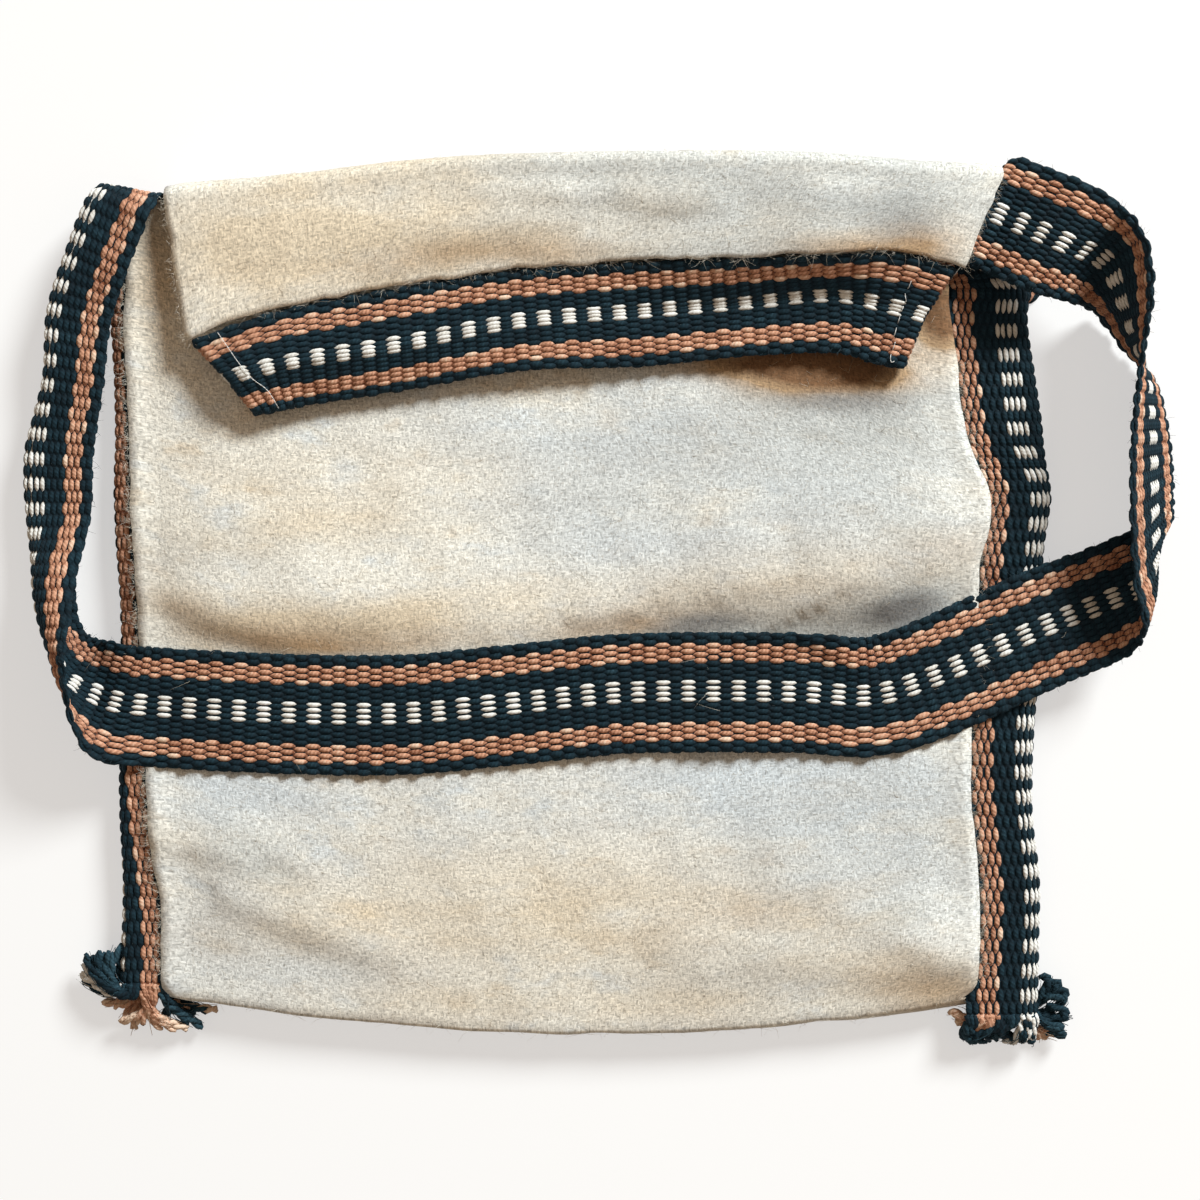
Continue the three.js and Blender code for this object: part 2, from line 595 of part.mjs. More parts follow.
// A closed three.js geometry as a solid, and back
function toSolid(geometry) {
  const bare = geometry.clone();
  bare.deleteAttribute('normal');
  bare.deleteAttribute('uv');
  const merged = mergeVertices(bare, 1e-3);
  return new wasm.Manifold(new wasm.Mesh({
    numProp: 3,
    vertProperties: Float32Array.from(merged.attributes.position.array),
    triVerts: Uint32Array.from(merged.index.array),
  }));
}
function toGeometry(solid) {
  const mesh = solid.getMesh();
  const geometry = new THREE.BufferGeometry();
  geometry.setAttribute('position', new THREE.BufferAttribute(mesh.vertProperties, 3));
  geometry.setIndex(new THREE.BufferAttribute(mesh.triVerts, 1));
  return geometry;
}

const STRAP_ROW_STEP = 24;
function strapGeometry() {
  const sections = [
    ...leftGussetSections(),
    ...leftStrapSections(),
    ...frontStrapSections(),
    ...rightStrapSections(),
    ...rightCornerSections(),
    ...rightGussetSections(),
  ];
  const rows = loftRows(sections, STRAP_ROW_STEP);
  const yarns = [
    ...fringeYarns(-1, rows[0]),
    ...fringeYarns(1, rows[rows.length - 1]),
  ];
  const band = toSolid(sheetSolid(rows, bandHalfThickness));
  return toGeometry(yarns.reduce((solid, yarn) => solid.add(toSolid(yarn)), band));
}

// Flap trim: for each place across the flap, how its upper and lower halves hang from the wool's edge
// Both are shares of the band's width.
const TRIM_STATIONS = [
  { u: 0.012, upper: [0.245, -0.339, 0.1], lower: [0.236, -0.3, -0.1] },
  { u: 0.12, upper: [0.101, -0.469, 0.12], lower: [0.041, -0.361, -0.16] },
  { u: 0.27, upper: [0.041, -0.517, 0.08], lower: [0.019, -0.37, -0.15] },
  { u: 0.42, upper: [0.043, -0.454, -0.01], lower: [0.046, -0.411, -0.05] },
  { u: 0.58, upper: [0.034, -0.418, -0.09], lower: [0.053, -0.478, 0] },
  { u: 0.71, upper: [0.046, -0.363, -0.17], lower: [0.046, -0.462, 0.02] },
  { u: 0.83, upper: [0.075, -0.296, -0.23], lower: [0.01, -0.514, 0.04] },
  { u: 0.985, upper: [-0.288, -0.363, -0.12], lower: [-0.185, -0.464, 0] },
];
const TRIM_ROW_STEP = 18;
const CREASE_SOFTNESS = 0.12;

function trimSection({ u, upper, lower }) {
  const top = flapEdge(u).add(vec(0, -SEAM_GAP - CLOTH_THICKNESS / 4, 0));
  const middle = top.clone().addScaledVector(vec(...upper), BAND_WIDTH);
  const bottom = middle.clone().addScaledVector(vec(...lower), BAND_WIDTH);
  return COLUMNS.map((share) => {
    const offset = 2 * share - 1;
    const soft = Math.hypot(offset, CREASE_SOFTNESS) - CREASE_SOFTNESS;
    const towardsTop = clamp((soft - offset) / 2, 0, 1);
    const towardsBottom = clamp((soft + offset) / 2, 0, 1);
    return middle.clone()
      .addScaledVector(top.clone().sub(middle), towardsTop)
      .addScaledVector(bottom.clone().sub(middle), towardsBottom);
  });
}

// The trim's end turned under: the section slides back inwards below the band
function hemSections(end, next) {
  const inward = next.map((point, j) => point.clone().sub(end[j]).setZ(0).normalize());
  const shifted = (run, drop) => end.map((point, j) => {
    return point.clone().addScaledVector(inward[j], run).addScaledVector(UP, -drop);
  });
  const turns = [180, 144, 108, 72, 36].map((turn) => {
    const out = HEM_RADIUS * Math.sin(radians(turn));
    return shifted(-out, HEM_RADIUS * (1 - Math.cos(radians(turn))));
  });
  return [shifted(HEM_LENGTH, 2 * HEM_RADIUS), ...turns];
}

function trimGeometry() {
  const main = TRIM_STATIONS.map(trimSection);
  const last = main.length - 1;
  const sections = [
    ...hemSections(main[0], main[1]),
    ...main,
    ...hemSections(main[last], main[last - 1]).reverse(),
  ];
  return sheetSolid(loftRows(sections, TRIM_ROW_STEP), bandHalfThickness);
}

function part(name, geometry, colour) {
  const material = new THREE.MeshStandardMaterial({ color: colour, roughness: 0.95, metalness: 0 });
  const mesh = new THREE.Mesh(geometry, material);
  mesh.name = name;
  return mesh;
}

const bag = new THREE.Group();
bag.add(part('bag_cloth', sheetSolid(clothRows(), () => CLOTH_THICKNESS / 2), WOOL_CREAM));
bag.add(part('strap_band', strapGeometry(), BAND_NAVY));
bag.add(part('flap_trim_band', trimGeometry(), BAND_NAVY));

export default bag;
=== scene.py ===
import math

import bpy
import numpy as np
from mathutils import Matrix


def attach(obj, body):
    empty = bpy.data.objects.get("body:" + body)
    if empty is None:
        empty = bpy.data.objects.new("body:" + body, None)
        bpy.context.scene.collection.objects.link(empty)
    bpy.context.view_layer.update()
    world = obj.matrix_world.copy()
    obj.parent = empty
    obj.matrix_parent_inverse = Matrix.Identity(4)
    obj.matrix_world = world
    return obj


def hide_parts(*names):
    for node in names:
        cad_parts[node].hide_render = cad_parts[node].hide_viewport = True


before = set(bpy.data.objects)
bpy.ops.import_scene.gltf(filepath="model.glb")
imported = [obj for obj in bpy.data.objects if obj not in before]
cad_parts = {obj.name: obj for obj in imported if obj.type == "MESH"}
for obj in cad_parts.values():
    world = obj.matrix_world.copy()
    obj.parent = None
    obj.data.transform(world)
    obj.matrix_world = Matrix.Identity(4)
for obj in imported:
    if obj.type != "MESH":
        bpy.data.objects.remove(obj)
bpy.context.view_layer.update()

# Handwoven wool shoulder bag lying on its back, with its strap thrown across the front.
# Sizes are in millimetres and repeat the solids' own; points become metres when a mesh is made.
# +X runs to the bag's right, +Y towards the flap's fold, +Z up from the back panel.

MM = 0.001

# Sizes of the wool cloth
PANEL_WIDTH = 292
PANEL_HEIGHT = 300
CLOTH_THICKNESS = 2.4
INSIDE_GAP = 7
FRONT_CROWN = 2
FRONT_SHIFT = -13.5
MOUTH_DROP = 13
UNDER_FLAP_GAP = 7
FLAP_WIDTH = 294
FLAP_SHIFT = -6.5
FLAP_TAPER_LEFT = 8
FLAP_TAPER_RIGHT = 13.5
FLAP_DROP = 43
FLAP_RISE = 9.4

# Sizes of the woven band
BAND_WIDTH = 41.6
BAND_THICKNESS = 2.4
CREASE_RADIUS = 3.2
LEFT_TURN_RADIUS = 5.8
LEFT_TURN_SLANT = 14
RIGHT_TURN_RADIUS = 4.4
RIGHT_TURN_SLANT = 42.7
RIGHT_STRAP_LEAN = 20.5
HEM_LENGTH = 12
HEM_RADIUS = 1.9

# Clearances
SEAM_GAP = 0.6
LAY_GAP = 0.4
CORNER_GAP = 1

# Values that follow from the sizes above
HALF_HEIGHT = PANEL_HEIGHT / 2
LEFT = FRONT_SHIFT - PANEL_WIDTH / 2
RIGHT = FRONT_SHIFT + PANEL_WIDTH / 2
BACK_Z = CLOTH_THICKNESS / 2
FRONT_Z = BACK_Z + CLOTH_THICKNESS + INSIDE_GAP
FLAP_Z = FRONT_Z + CLOTH_THICKNESS + UNDER_FLAP_GAP
BOTTOM_RADIUS = (FRONT_Z - BACK_Z) / 2
TOP_RADIUS = (FLAP_Z - BACK_Z) / 2
GUSSET_LOW_Z = max(BACK_Z, BAND_THICKNESS / 2)
GUSSET_RADIUS = (FRONT_Z - GUSSET_LOW_Z) / 2
GUSSET_MID_Z = (FRONT_Z + GUSSET_LOW_Z) / 2
GUSSET_FLAT = BAND_WIDTH - math.pi * GUSSET_RADIUS

UP = np.array([0.0, 0.0, 1.0])


def vec(x, y, z):
    return np.array([x, y, z], float)


def lerp(a, b, share):
    return a + (b - a) * share


def unit(vectors):
    length = np.linalg.norm(vectors, axis=-1, keepdims=True)
    return vectors / np.maximum(length, 1e-9)


def smooth_step(values, start, end):
    t = np.clip((values - start) / (end - start), 0, 1)
    return t * t * (3 - 2 * t)


def profile(*points):
    """A smooth curve through (position, value) pairs, level outside them."""
    at, height = np.array(points, float).T

    def curve(positions):
        x = np.clip(positions, at[0], at[-1])
        i = np.clip(np.searchsorted(at, x, side="right") - 1, 0, len(at) - 2)
        before = np.where(i > 0, i - 1, i + 1)
        after = np.where(i < len(at) - 2, i + 2, i)
        half = (at[i + 1] - at[i]) / 2
        pull = half / (at[i] - at[before])
        push = half / (at[after] - at[i + 1])
        p = (x - at[i]) / (at[i + 1] - at[i])
        weight_before = -pull * p**3 + 2 * pull * p**2 - pull * p
        weight_start = (1 + pull) * p**3 + (-1.5 - 2 * pull) * p**2 + (pull - 0.5) * p + 1
        weight_end = (-1 - push) * p**3 + (1.5 + push) * p**2 + 0.5 * p
        weight_after = push * p**3 - push * p**2
        return (weight_before * height[before] + weight_start * height[i]
                + weight_end * height[i + 1] + weight_after * height[after])

    return curve


# Outlines of the folded cloth
# Positions run up the bag from -1, the bottom fold, to 1, the top fold, or across it from 0 to 1.
left_wander = profile((-0.97, 7), (-0.83, 7.5), (-0.72, 7.4), (-0.62, 4.8), (-0.47, 2.5), (-0.05, -1),
                      (0.47, -4.9), (0.92, -6.3))
right_wander = profile((-0.97, -3.4), (-0.86, -1.9), (-0.75, -1.3), (-0.66, -1.4), (-0.57, -2.6),
                       (-0.47, -4.5), (-0.36, -4.7), (-0.1, -2), (0.1, -1.6), (0.17, 1), (0.22, 1.7),
                       (0.26, 0.7), (0.31, -2.5), (0.36, -5.6), (0.45, -8), (0.55, -9.6), (0.72, -12))
top_bow = profile((0, -2.6), (0.15, 1), (0.3, 6), (0.42, 8), (0.75, 8), (0.92, 4.5), (1, 4))
bottom_bow = profile((0, 8), (0.1, 4), (0.25, -1), (0.5, -4.5), (0.75, -2), (0.92, 3.5), (1, 7))
mouth_share = profile((0, 0.4), (0.07, 0.85), (0.2, 1), (0.6, 0.92), (0.85, 1.6), (0.94, 2.4), (1, 2.8))
flap_drop_share = profile((0, 1.29), (0.06, 1.16), (0.12, 1.09), (0.27, 1.02), (0.36, 1), (0.43, 0.945),
                          (0.5, 0.935), (0.58, 0.91), (0.7, 0.885), (0.77, 0.85), (0.83, 0.815),
                          (0.88, 0.77), (0.92, 0.745), (0.95, 0.77), (1, 0.87))
flap_rise_share = profile((0, 0.05), (0.27, 0.15), (0.42, 0.28), (0.58, 0.45), (0.71, 0.76), (0.83, 1),
                          (1, 0.55))
left_share = profile((-0.95, 12.8), (-0.83, 13), (-0.72, 11.6), (-0.62, 10), (-0.47, 8.5), (-0.05, 4.4),
                     (0.21, 4.7), (0.47, 2.6), (0.79, 4.5))
right_share = profile((-0.95, 20.8), (-0.85, 19.8), (-0.66, 19.7), (-0.57, 19.1), (-0.47, 20.2), (-0.1, 20.8),
                      (0.09, 21), (0.22, 20.2), (0.28, 22.6), (0.36, 25.8), (0.45, 26.4), (0.65, 25.6))
left_corner = profile((0, 0), (0.09, 0.16), (0.13, 0.72), (0.16, 0.95), (0.2, 1))

LEFT_GUSSET_TOP = 0.79 * HALF_HEIGHT
RIGHT_GUSSET_TOP = 0.65 * HALF_HEIGHT
FOOT_RISE = 11.5
GUSSET_FOOT = -HALF_HEIGHT + FOOT_RISE
GUSSET_ROW_STEP = 20


def front_left(y):
    return LEFT + left_wander(y / HALF_HEIGHT)


def front_right(y):
    return RIGHT + right_wander(y / HALF_HEIGHT)


def gusset_at(side, y):
    """Crease, flat front share and back seam of a gusset: side is -1 on the left and 1 on the right."""
    share = left_share(y / HALF_HEIGHT) if side < 0 else right_share(y / HALF_HEIGHT)
    edge = front_left(y) if side < 0 else front_right(y)
    crease = edge + side * (SEAM_GAP + share)
    back = crease - side * (GUSSET_FLAT - share)
    return crease, share, back


def back_left(y):
    seam = gusset_at(-1, np.minimum(y, LEFT_GUSSET_TOP))[2] + SEAM_GAP
    share = left_corner(np.maximum(0, (y - LEFT_GUSSET_TOP) / HALF_HEIGHT))
    return lerp(seam, FLAP_SHIFT - FLAP_WIDTH / 2, share)


def back_right(y):
    seam = gusset_at(1, np.minimum(y, RIGHT_GUSSET_TOP))[2] - SEAM_GAP
    share = np.clip((y - RIGHT_GUSSET_TOP) / (HALF_HEIGHT - RIGHT_GUSSET_TOP), 0, 1)
    return lerp(seam, FLAP_SHIFT + FLAP_WIDTH / 2, share)


def top_edge(u):
    return HALF_HEIGHT + top_bow(u)


def top_tangent(u):
    return top_edge(u) - CLOTH_THICKNESS / 2 - TOP_RADIUS


def bottom_tangent(u):
    return -HALF_HEIGHT + bottom_bow(u) + CLOTH_THICKNESS / 2 + BOTTOM_RADIUS


def mouth_edge(u):
    return HALF_HEIGHT - MOUTH_DROP * mouth_share(u)


def flap_left(share):
    return FLAP_SHIFT - FLAP_WIDTH / 2 + FLAP_TAPER_LEFT * share


def flap_right(share):
    return FLAP_SHIFT + FLAP_WIDTH / 2 - FLAP_TAPER_RIGHT * share


def flap_edge(u):
    x = lerp(flap_left(1), flap_right(1), u)
    y = top_edge(u) - FLAP_DROP * flap_drop_share(u)
    z = FLAP_Z + FLAP_RISE * flap_rise_share(u)
    return np.stack([x, y, z], axis=-1)


def on_front(across, up):
    """A place on the front panel, by its share across from the left edge and up from the middle."""
    return np.array([LEFT + across * PANEL_WIDTH, up * HALF_HEIGHT])


# Soft folds, each a low ridge along a line of (across, up, height) that falls off faster below it:
# (reach below, reach above, line)
FRONT_FOLDS = [
    (16, 36, [(0.0, 0.035, 5.0), (0.182, 0.022, 6.2), (0.328, -0.012, 3.8), (0.449, -0.035, 2.2)]),
    (5, 10, [(0.0, 0.01, 1.2), (0.06, -0.03, 2.2), (0.15, -0.085, 2.0), (0.2, -0.11, 0.8)]),
    (18, 45, [(0.56, -0.04, 0.8), (0.68, 0.0, 3.6), (0.78, 0.035, 7.5), (0.884, 0.07, 12.0),
              (1.0, 0.19, 12.5)]),
    (5.5, 16, [(0.03, -0.565, 3.4), (0.12, -0.61, 2.0)]),
    (6, 11, [(0.1, -0.7, 2.2), (0.2, -0.775, 2.8), (0.3, -0.85, 1.2)]),
    (10, 16, [(0.668, -0.85, 1.8), (0.862, -0.865, 4.5), (0.96, -0.86, 4.5)]),
    (7, 14, [(0.86, -0.77, 1.0), (0.92, -0.8, 3.6), (0.99, -0.86, 5.5)]),
]


def ridge(x, y, below, above, line):
    """Height of a fold whose line is given in millimetres as (x, y, height)."""
    highest = np.zeros(np.broadcast(x, y).shape)
    for (x0, y0, height0), (x1, y1, height1) in zip(line, line[1:]):
        run = np.array([x1 - x0, y1 - y0])
        along = np.clip(((x - x0) * run[0] + (y - y0) * run[1]) / run.dot(run), 0, 1)
        dx = x - x0 - along * run[0]
        dy = y - y0 - along * run[1]
        side = np.sign(run[0]) * (run[0] * dy - run[1] * dx)
        reach = np.where(side < 0, below, above)
        highest = np.maximum(highest, lerp(height0, height1, along) * np.exp(-(dx**2 + dy**2) / reach**2))
    return highest


# The front sinks towards its right top corner, under the strap
CORNER_SINK = 3.5


def right_sink(up):
    return CORNER_SINK * smooth_step(up, 0.42, 0.74)


def front_mid_z(x, y):
    across = np.clip(2 * (x - FRONT_SHIFT) / PANEL_WIDTH, -1, 1)
    up = np.clip(y / HALF_HEIGHT, -1, 1)
    sink = right_sink(up) * smooth_step(across, 0.5, 1)
    edge = (1 - across**4) * (1 - up**4)
    hem = (1 - 0.7 * across**8) * (1 - up**8)
    folds = 0
    for below, above, line in FRONT_FOLDS:
        placed = [(*on_front(*place), height) for *place, height in line]
        folds = folds + ridge(x, y, below, above, placed)
    return FRONT_Z + edge * FRONT_CROWN + hem * folds - sink


# Sections of the band, from edge B at share 0 to edge A at share 1
def folded_section(shares, centre, legs, rise, radius, length_a, tilt_a=0, tilt_b=0):
    """A band folded lengthwise round a crease; edge A lies on the side that rise points to."""
    angle_a = math.pi / 2 - math.radians(tilt_a)
    angle_b = math.pi / 2 - math.radians(tilt_b)
    turn = radius * (angle_a + angle_b)
    run = shares * BAND_WIDTH - (BAND_WIDTH - length_a - turn)
    angle = np.clip(run / radius - angle_b, -angle_b, angle_a)
    before = np.minimum(run, 0)
    past = np.maximum(run - turn, 0)
    along_legs = -radius * np.cos(angle) - before * math.sin(angle_b) + past * math.sin(angle_a)
    along_rise = radius * np.sin(angle) + before * math.cos(angle_b) + past * math.cos(angle_a)
    return centre + np.outer(along_legs, legs) + np.outer(along_rise, rise)


def cupped_section(shares, edge_a, edge_b, bulge):
    """An open band between its edges: slack becomes a cup that swells towards bulge."""
    chord = edge_a - edge_b
    length = np.linalg.norm(chord)
    ratio = min(length / BAND_WIDTH, 0.9999)
    half = math.sqrt(6 * (1 - ratio))
    for _ in range(20):
        half -= (math.sin(half) - ratio * half) / (math.cos(half) - ratio)
    radius = BAND_WIDTH / (2 * half)
    across = chord / length
    outward = unit(bulge - across * bulge.dot(across))
    angle = (2 * shares - 1) * half
    swell = radius * (np.cos(angle) - math.cos(half))
    return (edge_a + edge_b) / 2 + np.outer(radius * np.sin(angle), across) + np.outer(swell, outward)


# Small creases of the strap where it bends, in millimetres: (reach below, reach above, line)
STRAP_FOLDS = [
    (5, 4, [(73, -8, 2.6), (88, -19, 2.2), (98, -31, 0.6)]),
    (6, 5, [(26, -56, 0.4), (44, -50, 1.8), (60, -36, 0.6)]),
    (5, 5, [(-70, -26, 0.4), (-52, -34, 1.2), (-30, -40, 0.3)]),
]


def laid_section(shares, place, forward):
    """The strap where it lies on the front panel."""
    across = np.array([forward[1], -forward[0]]) / np.hypot(forward[0], forward[1])
    x = place[0] + (shares - 0.5) * BAND_WIDTH * across[0]
    y = place[1] + (shares - 0.5) * BAND_WIDTH * across[1]
    creases = sum(ridge(x, y, *fold) for fold in STRAP_FOLDS)
    z = front_mid_z(x, y) + (CLOTH_THICKNESS + BAND_THICKNESS) / 2 + LAY_GAP + creases
    return np.stack([x, y, z], axis=-1)


def beside_left(out, up, z):
    return vec(LEFT - out, up * HALF_HEIGHT, z)


def beside_right(out, up, z):
    return vec(RIGHT + out, up * HALF_HEIGHT, z)


def cupped_sections(shares, beside, rows):
    return [cupped_section(shares, beside(*edge_a), beside(*edge_b), vec(*bulge))
            for edge_a, edge_b, bulge in rows]


def gusset_sections(shares, side, top):
    """The sewn length of a gusset from its frayed foot to its top."""
    count = math.ceil((top - GUSSET_FOOT) / GUSSET_ROW_STEP)
    sections = []
    for y in np.linspace(GUSSET_FOOT, top, count + 1):
        crease, share, _ = gusset_at(side, y)
        centre = vec(crease, y, GUSSET_MID_Z)
        sections.append(folded_section(shares, centre, vec(-side, 0, 0), -UP, GUSSET_RADIUS,
                                       GUSSET_FLAT - share))
    return sections


# The left gusset's top corner, where the band turns over forwards and down
NECK_LEG = 21.5
NECK_DROP = 20
TURN_LEG = 19.5
TURN_DROP = 12.5
TURN_STEP = 30


def left_gusset_sections(shares):
    sections = gusset_sections(shares, -1, LEFT_GUSSET_TOP)
    corner = flap_left(0) - LAY_GAP
    neck = vec(corner - NECK_LEG + CORNER_GAP, HALF_HEIGHT - NECK_DROP, GUSSET_MID_Z)
    sections.append(folded_section(shares, neck, vec(1, 0, 0), -UP, (CREASE_RADIUS + GUSSET_RADIUS) / 2,
                                   NECK_LEG))
    slope = math.radians(LEFT_TURN_SLANT)
    fold_line = vec(-math.cos(slope), math.sin(slope), 0)
    outward = vec(math.sin(slope), math.cos(slope), 0)
    start = vec(corner - TURN_LEG, HALF_HEIGHT - TURN_DROP, GUSSET_MID_Z)
    slide = math.pi * LEFT_TURN_RADIUS * math.tan(slope)
    for turn in range(0, 181, TURN_STEP):
        sine = math.sin(math.radians(turn))
        cosine = math.cos(math.radians(turn))
        centre = (start + outward * LEFT_TURN_RADIUS * sine + UP * LEFT_TURN_RADIUS * (1 - cosine)
                  + fold_line * slide * turn / 180)
        legs = -math.cos(slope) * fold_line + math.sin(slope) * (cosine * outward + sine * UP)
        rise = sine * outward - cosine * UP
        sections.append(folded_section(shares, centre, legs, rise, CREASE_RADIUS, TURN_LEG))
    return sections


# The strap hangs down the left side creased in half: (out, up, z, legs, (length A, tilt A, tilt B))
LEFT_CREASED = [
    (24, 0.83, 17, (0.89, -0.45), (19.5, 0, 0)),
    (32, 0.675, 15, (0.97, -0.24), (19.5, 0, 5)),
    (33.8, 0.53, 13, (0.98, -0.2), (19, 5, 14)),
    (40.6, 0.353, 11, (0.995, -0.1), (22, 8, 18)),
    (40.2, 0.2, 11, (1, 0), (22, 14, 20)),
]

# Then it rolls over onto the front: (edge A, edge B, bulge)
LEFT_ROLLED = [
    ((23.5, 0.06, 24), (29, 0.06, 3), (-1, 0, 0)),
    ((23.9, -0.05, 33), (28, -0.045, 2), (-1, 0, 0)),
    ((24.6, -0.125, 37.5), (24.5, -0.085, 2), (-1, -0.2, 0)),
    ((24.4, -0.19, 36), (20.5, -0.095, 4.5), (-0.7, -0.7, -0.3)),
    ((23.4, -0.305, 27), (14, -0.1, 12.5), (-0.2, -0.5, -1)),
    ((17.5, -0.372, 19.5), (5, -0.112, 14), (0, -0.2, -1)),
]


def left_strap_sections(shares):
    creased = [folded_section(shares, beside_left(*place), unit(vec(*legs, 0)), UP, CREASE_RADIUS, *fold)
               for *place, legs, fold in LEFT_CREASED]
    return creased + cupped_sections(shares, beside_left, LEFT_ROLLED)


# The strap's middle line across the front
FRONT_LINE = [(0.007, -0.253), (0.068, -0.26), (0.18, -0.269), (0.308, -0.27), (0.425, -0.25),
              (0.565, -0.222), (0.668, -0.217), (0.788, -0.219), (0.877, -0.227), (0.945, -0.187),
              (1.029, -0.115), (1.086, -0.064)]
FRONT_LINE_STEPS = 32
FRONT_LINE_FINE = 40


def front_strap_sections(shares):
    points = [np.append(on_front(*place), 0)[None, :] for place in FRONT_LINE]
    fine = loft(points, FRONT_LINE_FINE)[:, 0, :]
    run = arc_length(fine)
    step = run[-1] / (FRONT_LINE_FINE * len(FRONT_LINE))

    def place_at(distance):
        return np.array([np.interp(distance, run, fine[:, axis]) for axis in (0, 1)])

    return [laid_section(shares, place_at(at), place_at(at + step) - place_at(at - step))
            for at in np.linspace(0, run[-1], FRONT_LINE_STEPS + 1)]


# On the right the strap stands on edge B, then leans back into a bowl: (edge A, edge B, bulge)
RIGHT_CUPPED = [
    ((55, -0.12, 18), (39, 0.115, 11.5), (0.3, 0, -1)),
    ((57, -0.06, 27), (58, 0.165, 7), (1, 0.2, -0.6)),
    ((52.5, 0.013, 32), (72.5, 0.2, 3), (1, 0, 0)),
    ((50, 0.127, 36), (73.5, 0.25, 2), (1, 0, 0)),
    ((49.7, 0.275, 37), (73, 0.32, 1.8), (1, 0, 0.3)),
    ((49.9, 0.411, 39.5), (70.8, 0.431, 1.8), (1, 0, 0.3)),
    ((51.6, 0.514, 41.5), (66.2, 0.527, 1.6), (1, 0.2, 0.3)),
    ((53.3, 0.599, 44), (56, 0.597, 1.6), (1, 0.4, 0)),
    ((55.9, 0.703, 43.5), (45, 0.686, 3), (0.8, 0.6, -0.2)),
    ((53.8, 0.832, 39), (30.6, 0.702, 21), (0.5, 0.6, -0.6)),
    ((43.7, 0.936, 31.5), (17.4, 0.712, 27), (0.3, 0.4, -1)),
]


# At the right top corner the strap turns over on a slanting fold and goes down as the gusset
CORNER_IN = 2
CORNER_DROP = 14.5
CORNER_RUN = (24, -12)
CORNER_STEP = 4


def right_corner_sections(shares):
    lean = math.radians(RIGHT_STRAP_LEAN)
    slant = math.radians(RIGHT_TURN_SLANT)
    climb = vec(-math.sin(lean), math.cos(lean), 0)
    across = vec(math.cos(lean), math.sin(lean), 0)
    fold_line = vec(math.cos(slant), math.sin(slant), 0)
    outward = vec(-math.sin(slant), math.cos(slant), 0)
    radius = RIGHT_TURN_RADIUS
    start = vec(RIGHT - CORNER_IN, HALF_HEIGHT - CORNER_DROP, FRONT_Z - CLOTH_THICKNESS)
    sections = []
    for run in range(CORNER_RUN[0], CORNER_RUN[1] - 1, -CORNER_STEP):
        flat = climb * run + np.outer((shares - 0.5) * BAND_WIDTH, across)
        around = flat @ outward
        angle = np.clip(around / radius, 0, math.pi)
        reach = np.minimum(around, 0) + radius * np.sin(angle) - np.maximum(around - math.pi * radius, 0)
        lift = radius * (1 - np.cos(angle))
        sections.append(start + np.outer(flat @ fold_line, fold_line) + np.outer(reach, outward)
                        + np.outer(lift, UP))
    return sections


# The right gusset's crease opens flat as it comes up to the corner: (above, share, tilt)
RIGHT_OPENING = [(13, 25, 120), (6.5, 25.4, 60)]
RIGHT_TAIL = 11
STRIPE_SPREAD = 0.055


def spread_stripes(shares):
    """The band's shares with the stripes next to edge B drawn apart."""
    return shares + STRIPE_SPREAD * smooth_step(shares, 0.08, 0.42) * (1 - smooth_step(shares, 0.8, 1))


def right_gusset_sections(shares):
    sections = []
    shares = spread_stripes(shares)
    crease = gusset_at(1, RIGHT_GUSSET_TOP)[0]
    for above, share, tilt in RIGHT_OPENING:
        angle = math.pi - math.radians(tilt)
        section = folded_section(shares, vec(crease, RIGHT_GUSSET_TOP + above, GUSSET_MID_Z), vec(-1, 0, 0),
                                 -UP, GUSSET_RADIUS, BAND_WIDTH - share - GUSSET_RADIUS * angle, tilt)
        section[:, 2] = np.maximum(section[:, 2], GUSSET_LOW_Z)
        sections.append(section)
    sections += gusset_sections(shares, 1, RIGHT_GUSSET_TOP)[::-1]
    for section in sections:
        height = (section[:, 2] - GUSSET_LOW_Z) / (FRONT_Z - GUSSET_LOW_Z)
        section[:, 2] -= right_sink(section[:, 1] / HALF_HEIGHT) * height
    return sections + [sections[-1] - vec(0, RIGHT_TAIL, 0)]


def strap_sections(shares):
    return (left_gusset_sections(shares) + left_strap_sections(shares) + front_strap_sections(shares)
            + cupped_sections(shares, beside_right, RIGHT_CUPPED)
            + right_corner_sections(shares) + right_gusset_sections(shares))


# Flap trim: (place across the flap, upper half's run, lower half's run), in shares of the band's width
TRIM_STATIONS = [
    (0.012, (0.33, -0.35, 0.1), (0.236, -0.3, -0.1)),
    (0.12, (0.115, -0.475, 0.12), (0.041, -0.361, -0.16)),
    (0.27, (0.041, -0.517, 0.08), (0.019, -0.37, -0.15)),
    (0.42, (0.043, -0.454, -0.01), (0.046, -0.411, -0.05)),
    (0.58, (0.034, -0.41, -0.15), (0.053, -0.478, 0)),
    (0.71, (0.046, -0.36, -0.23), (0.046, -0.462, 0.02)),
    (0.83, (0.075, -0.315, -0.28), (0.01, -0.514, 0.04)),
    (0.92, (-0.12, -0.44, -0.18), (-0.1, -0.49, 0.02)),
    (0.985, (-0.26, -0.4, -0.12), (-0.185, -0.464, 0)),
]
CREASE_SOFTNESS = 0.12
HEM_TURNS = (180, 144, 108, 72, 36)


def trim_section(shares, u, upper, lower):
    top = flap_edge(u) - vec(0, SEAM_GAP + CLOTH_THICKNESS / 4, 0)
    middle = top + BAND_WIDTH * vec(*upper)
    bottom = middle + BAND_WIDTH * vec(*lower)
    offset = 2 * shares - 1
    soft = np.hypot(offset, CREASE_SOFTNESS) - CREASE_SOFTNESS
    towards_top = np.clip((soft - offset) / 2, 0, 1)
    towards_bottom = np.clip((soft + offset) / 2, 0, 1)
    return middle + np.outer(towards_top, top - middle) + np.outer(towards_bottom, bottom - middle)


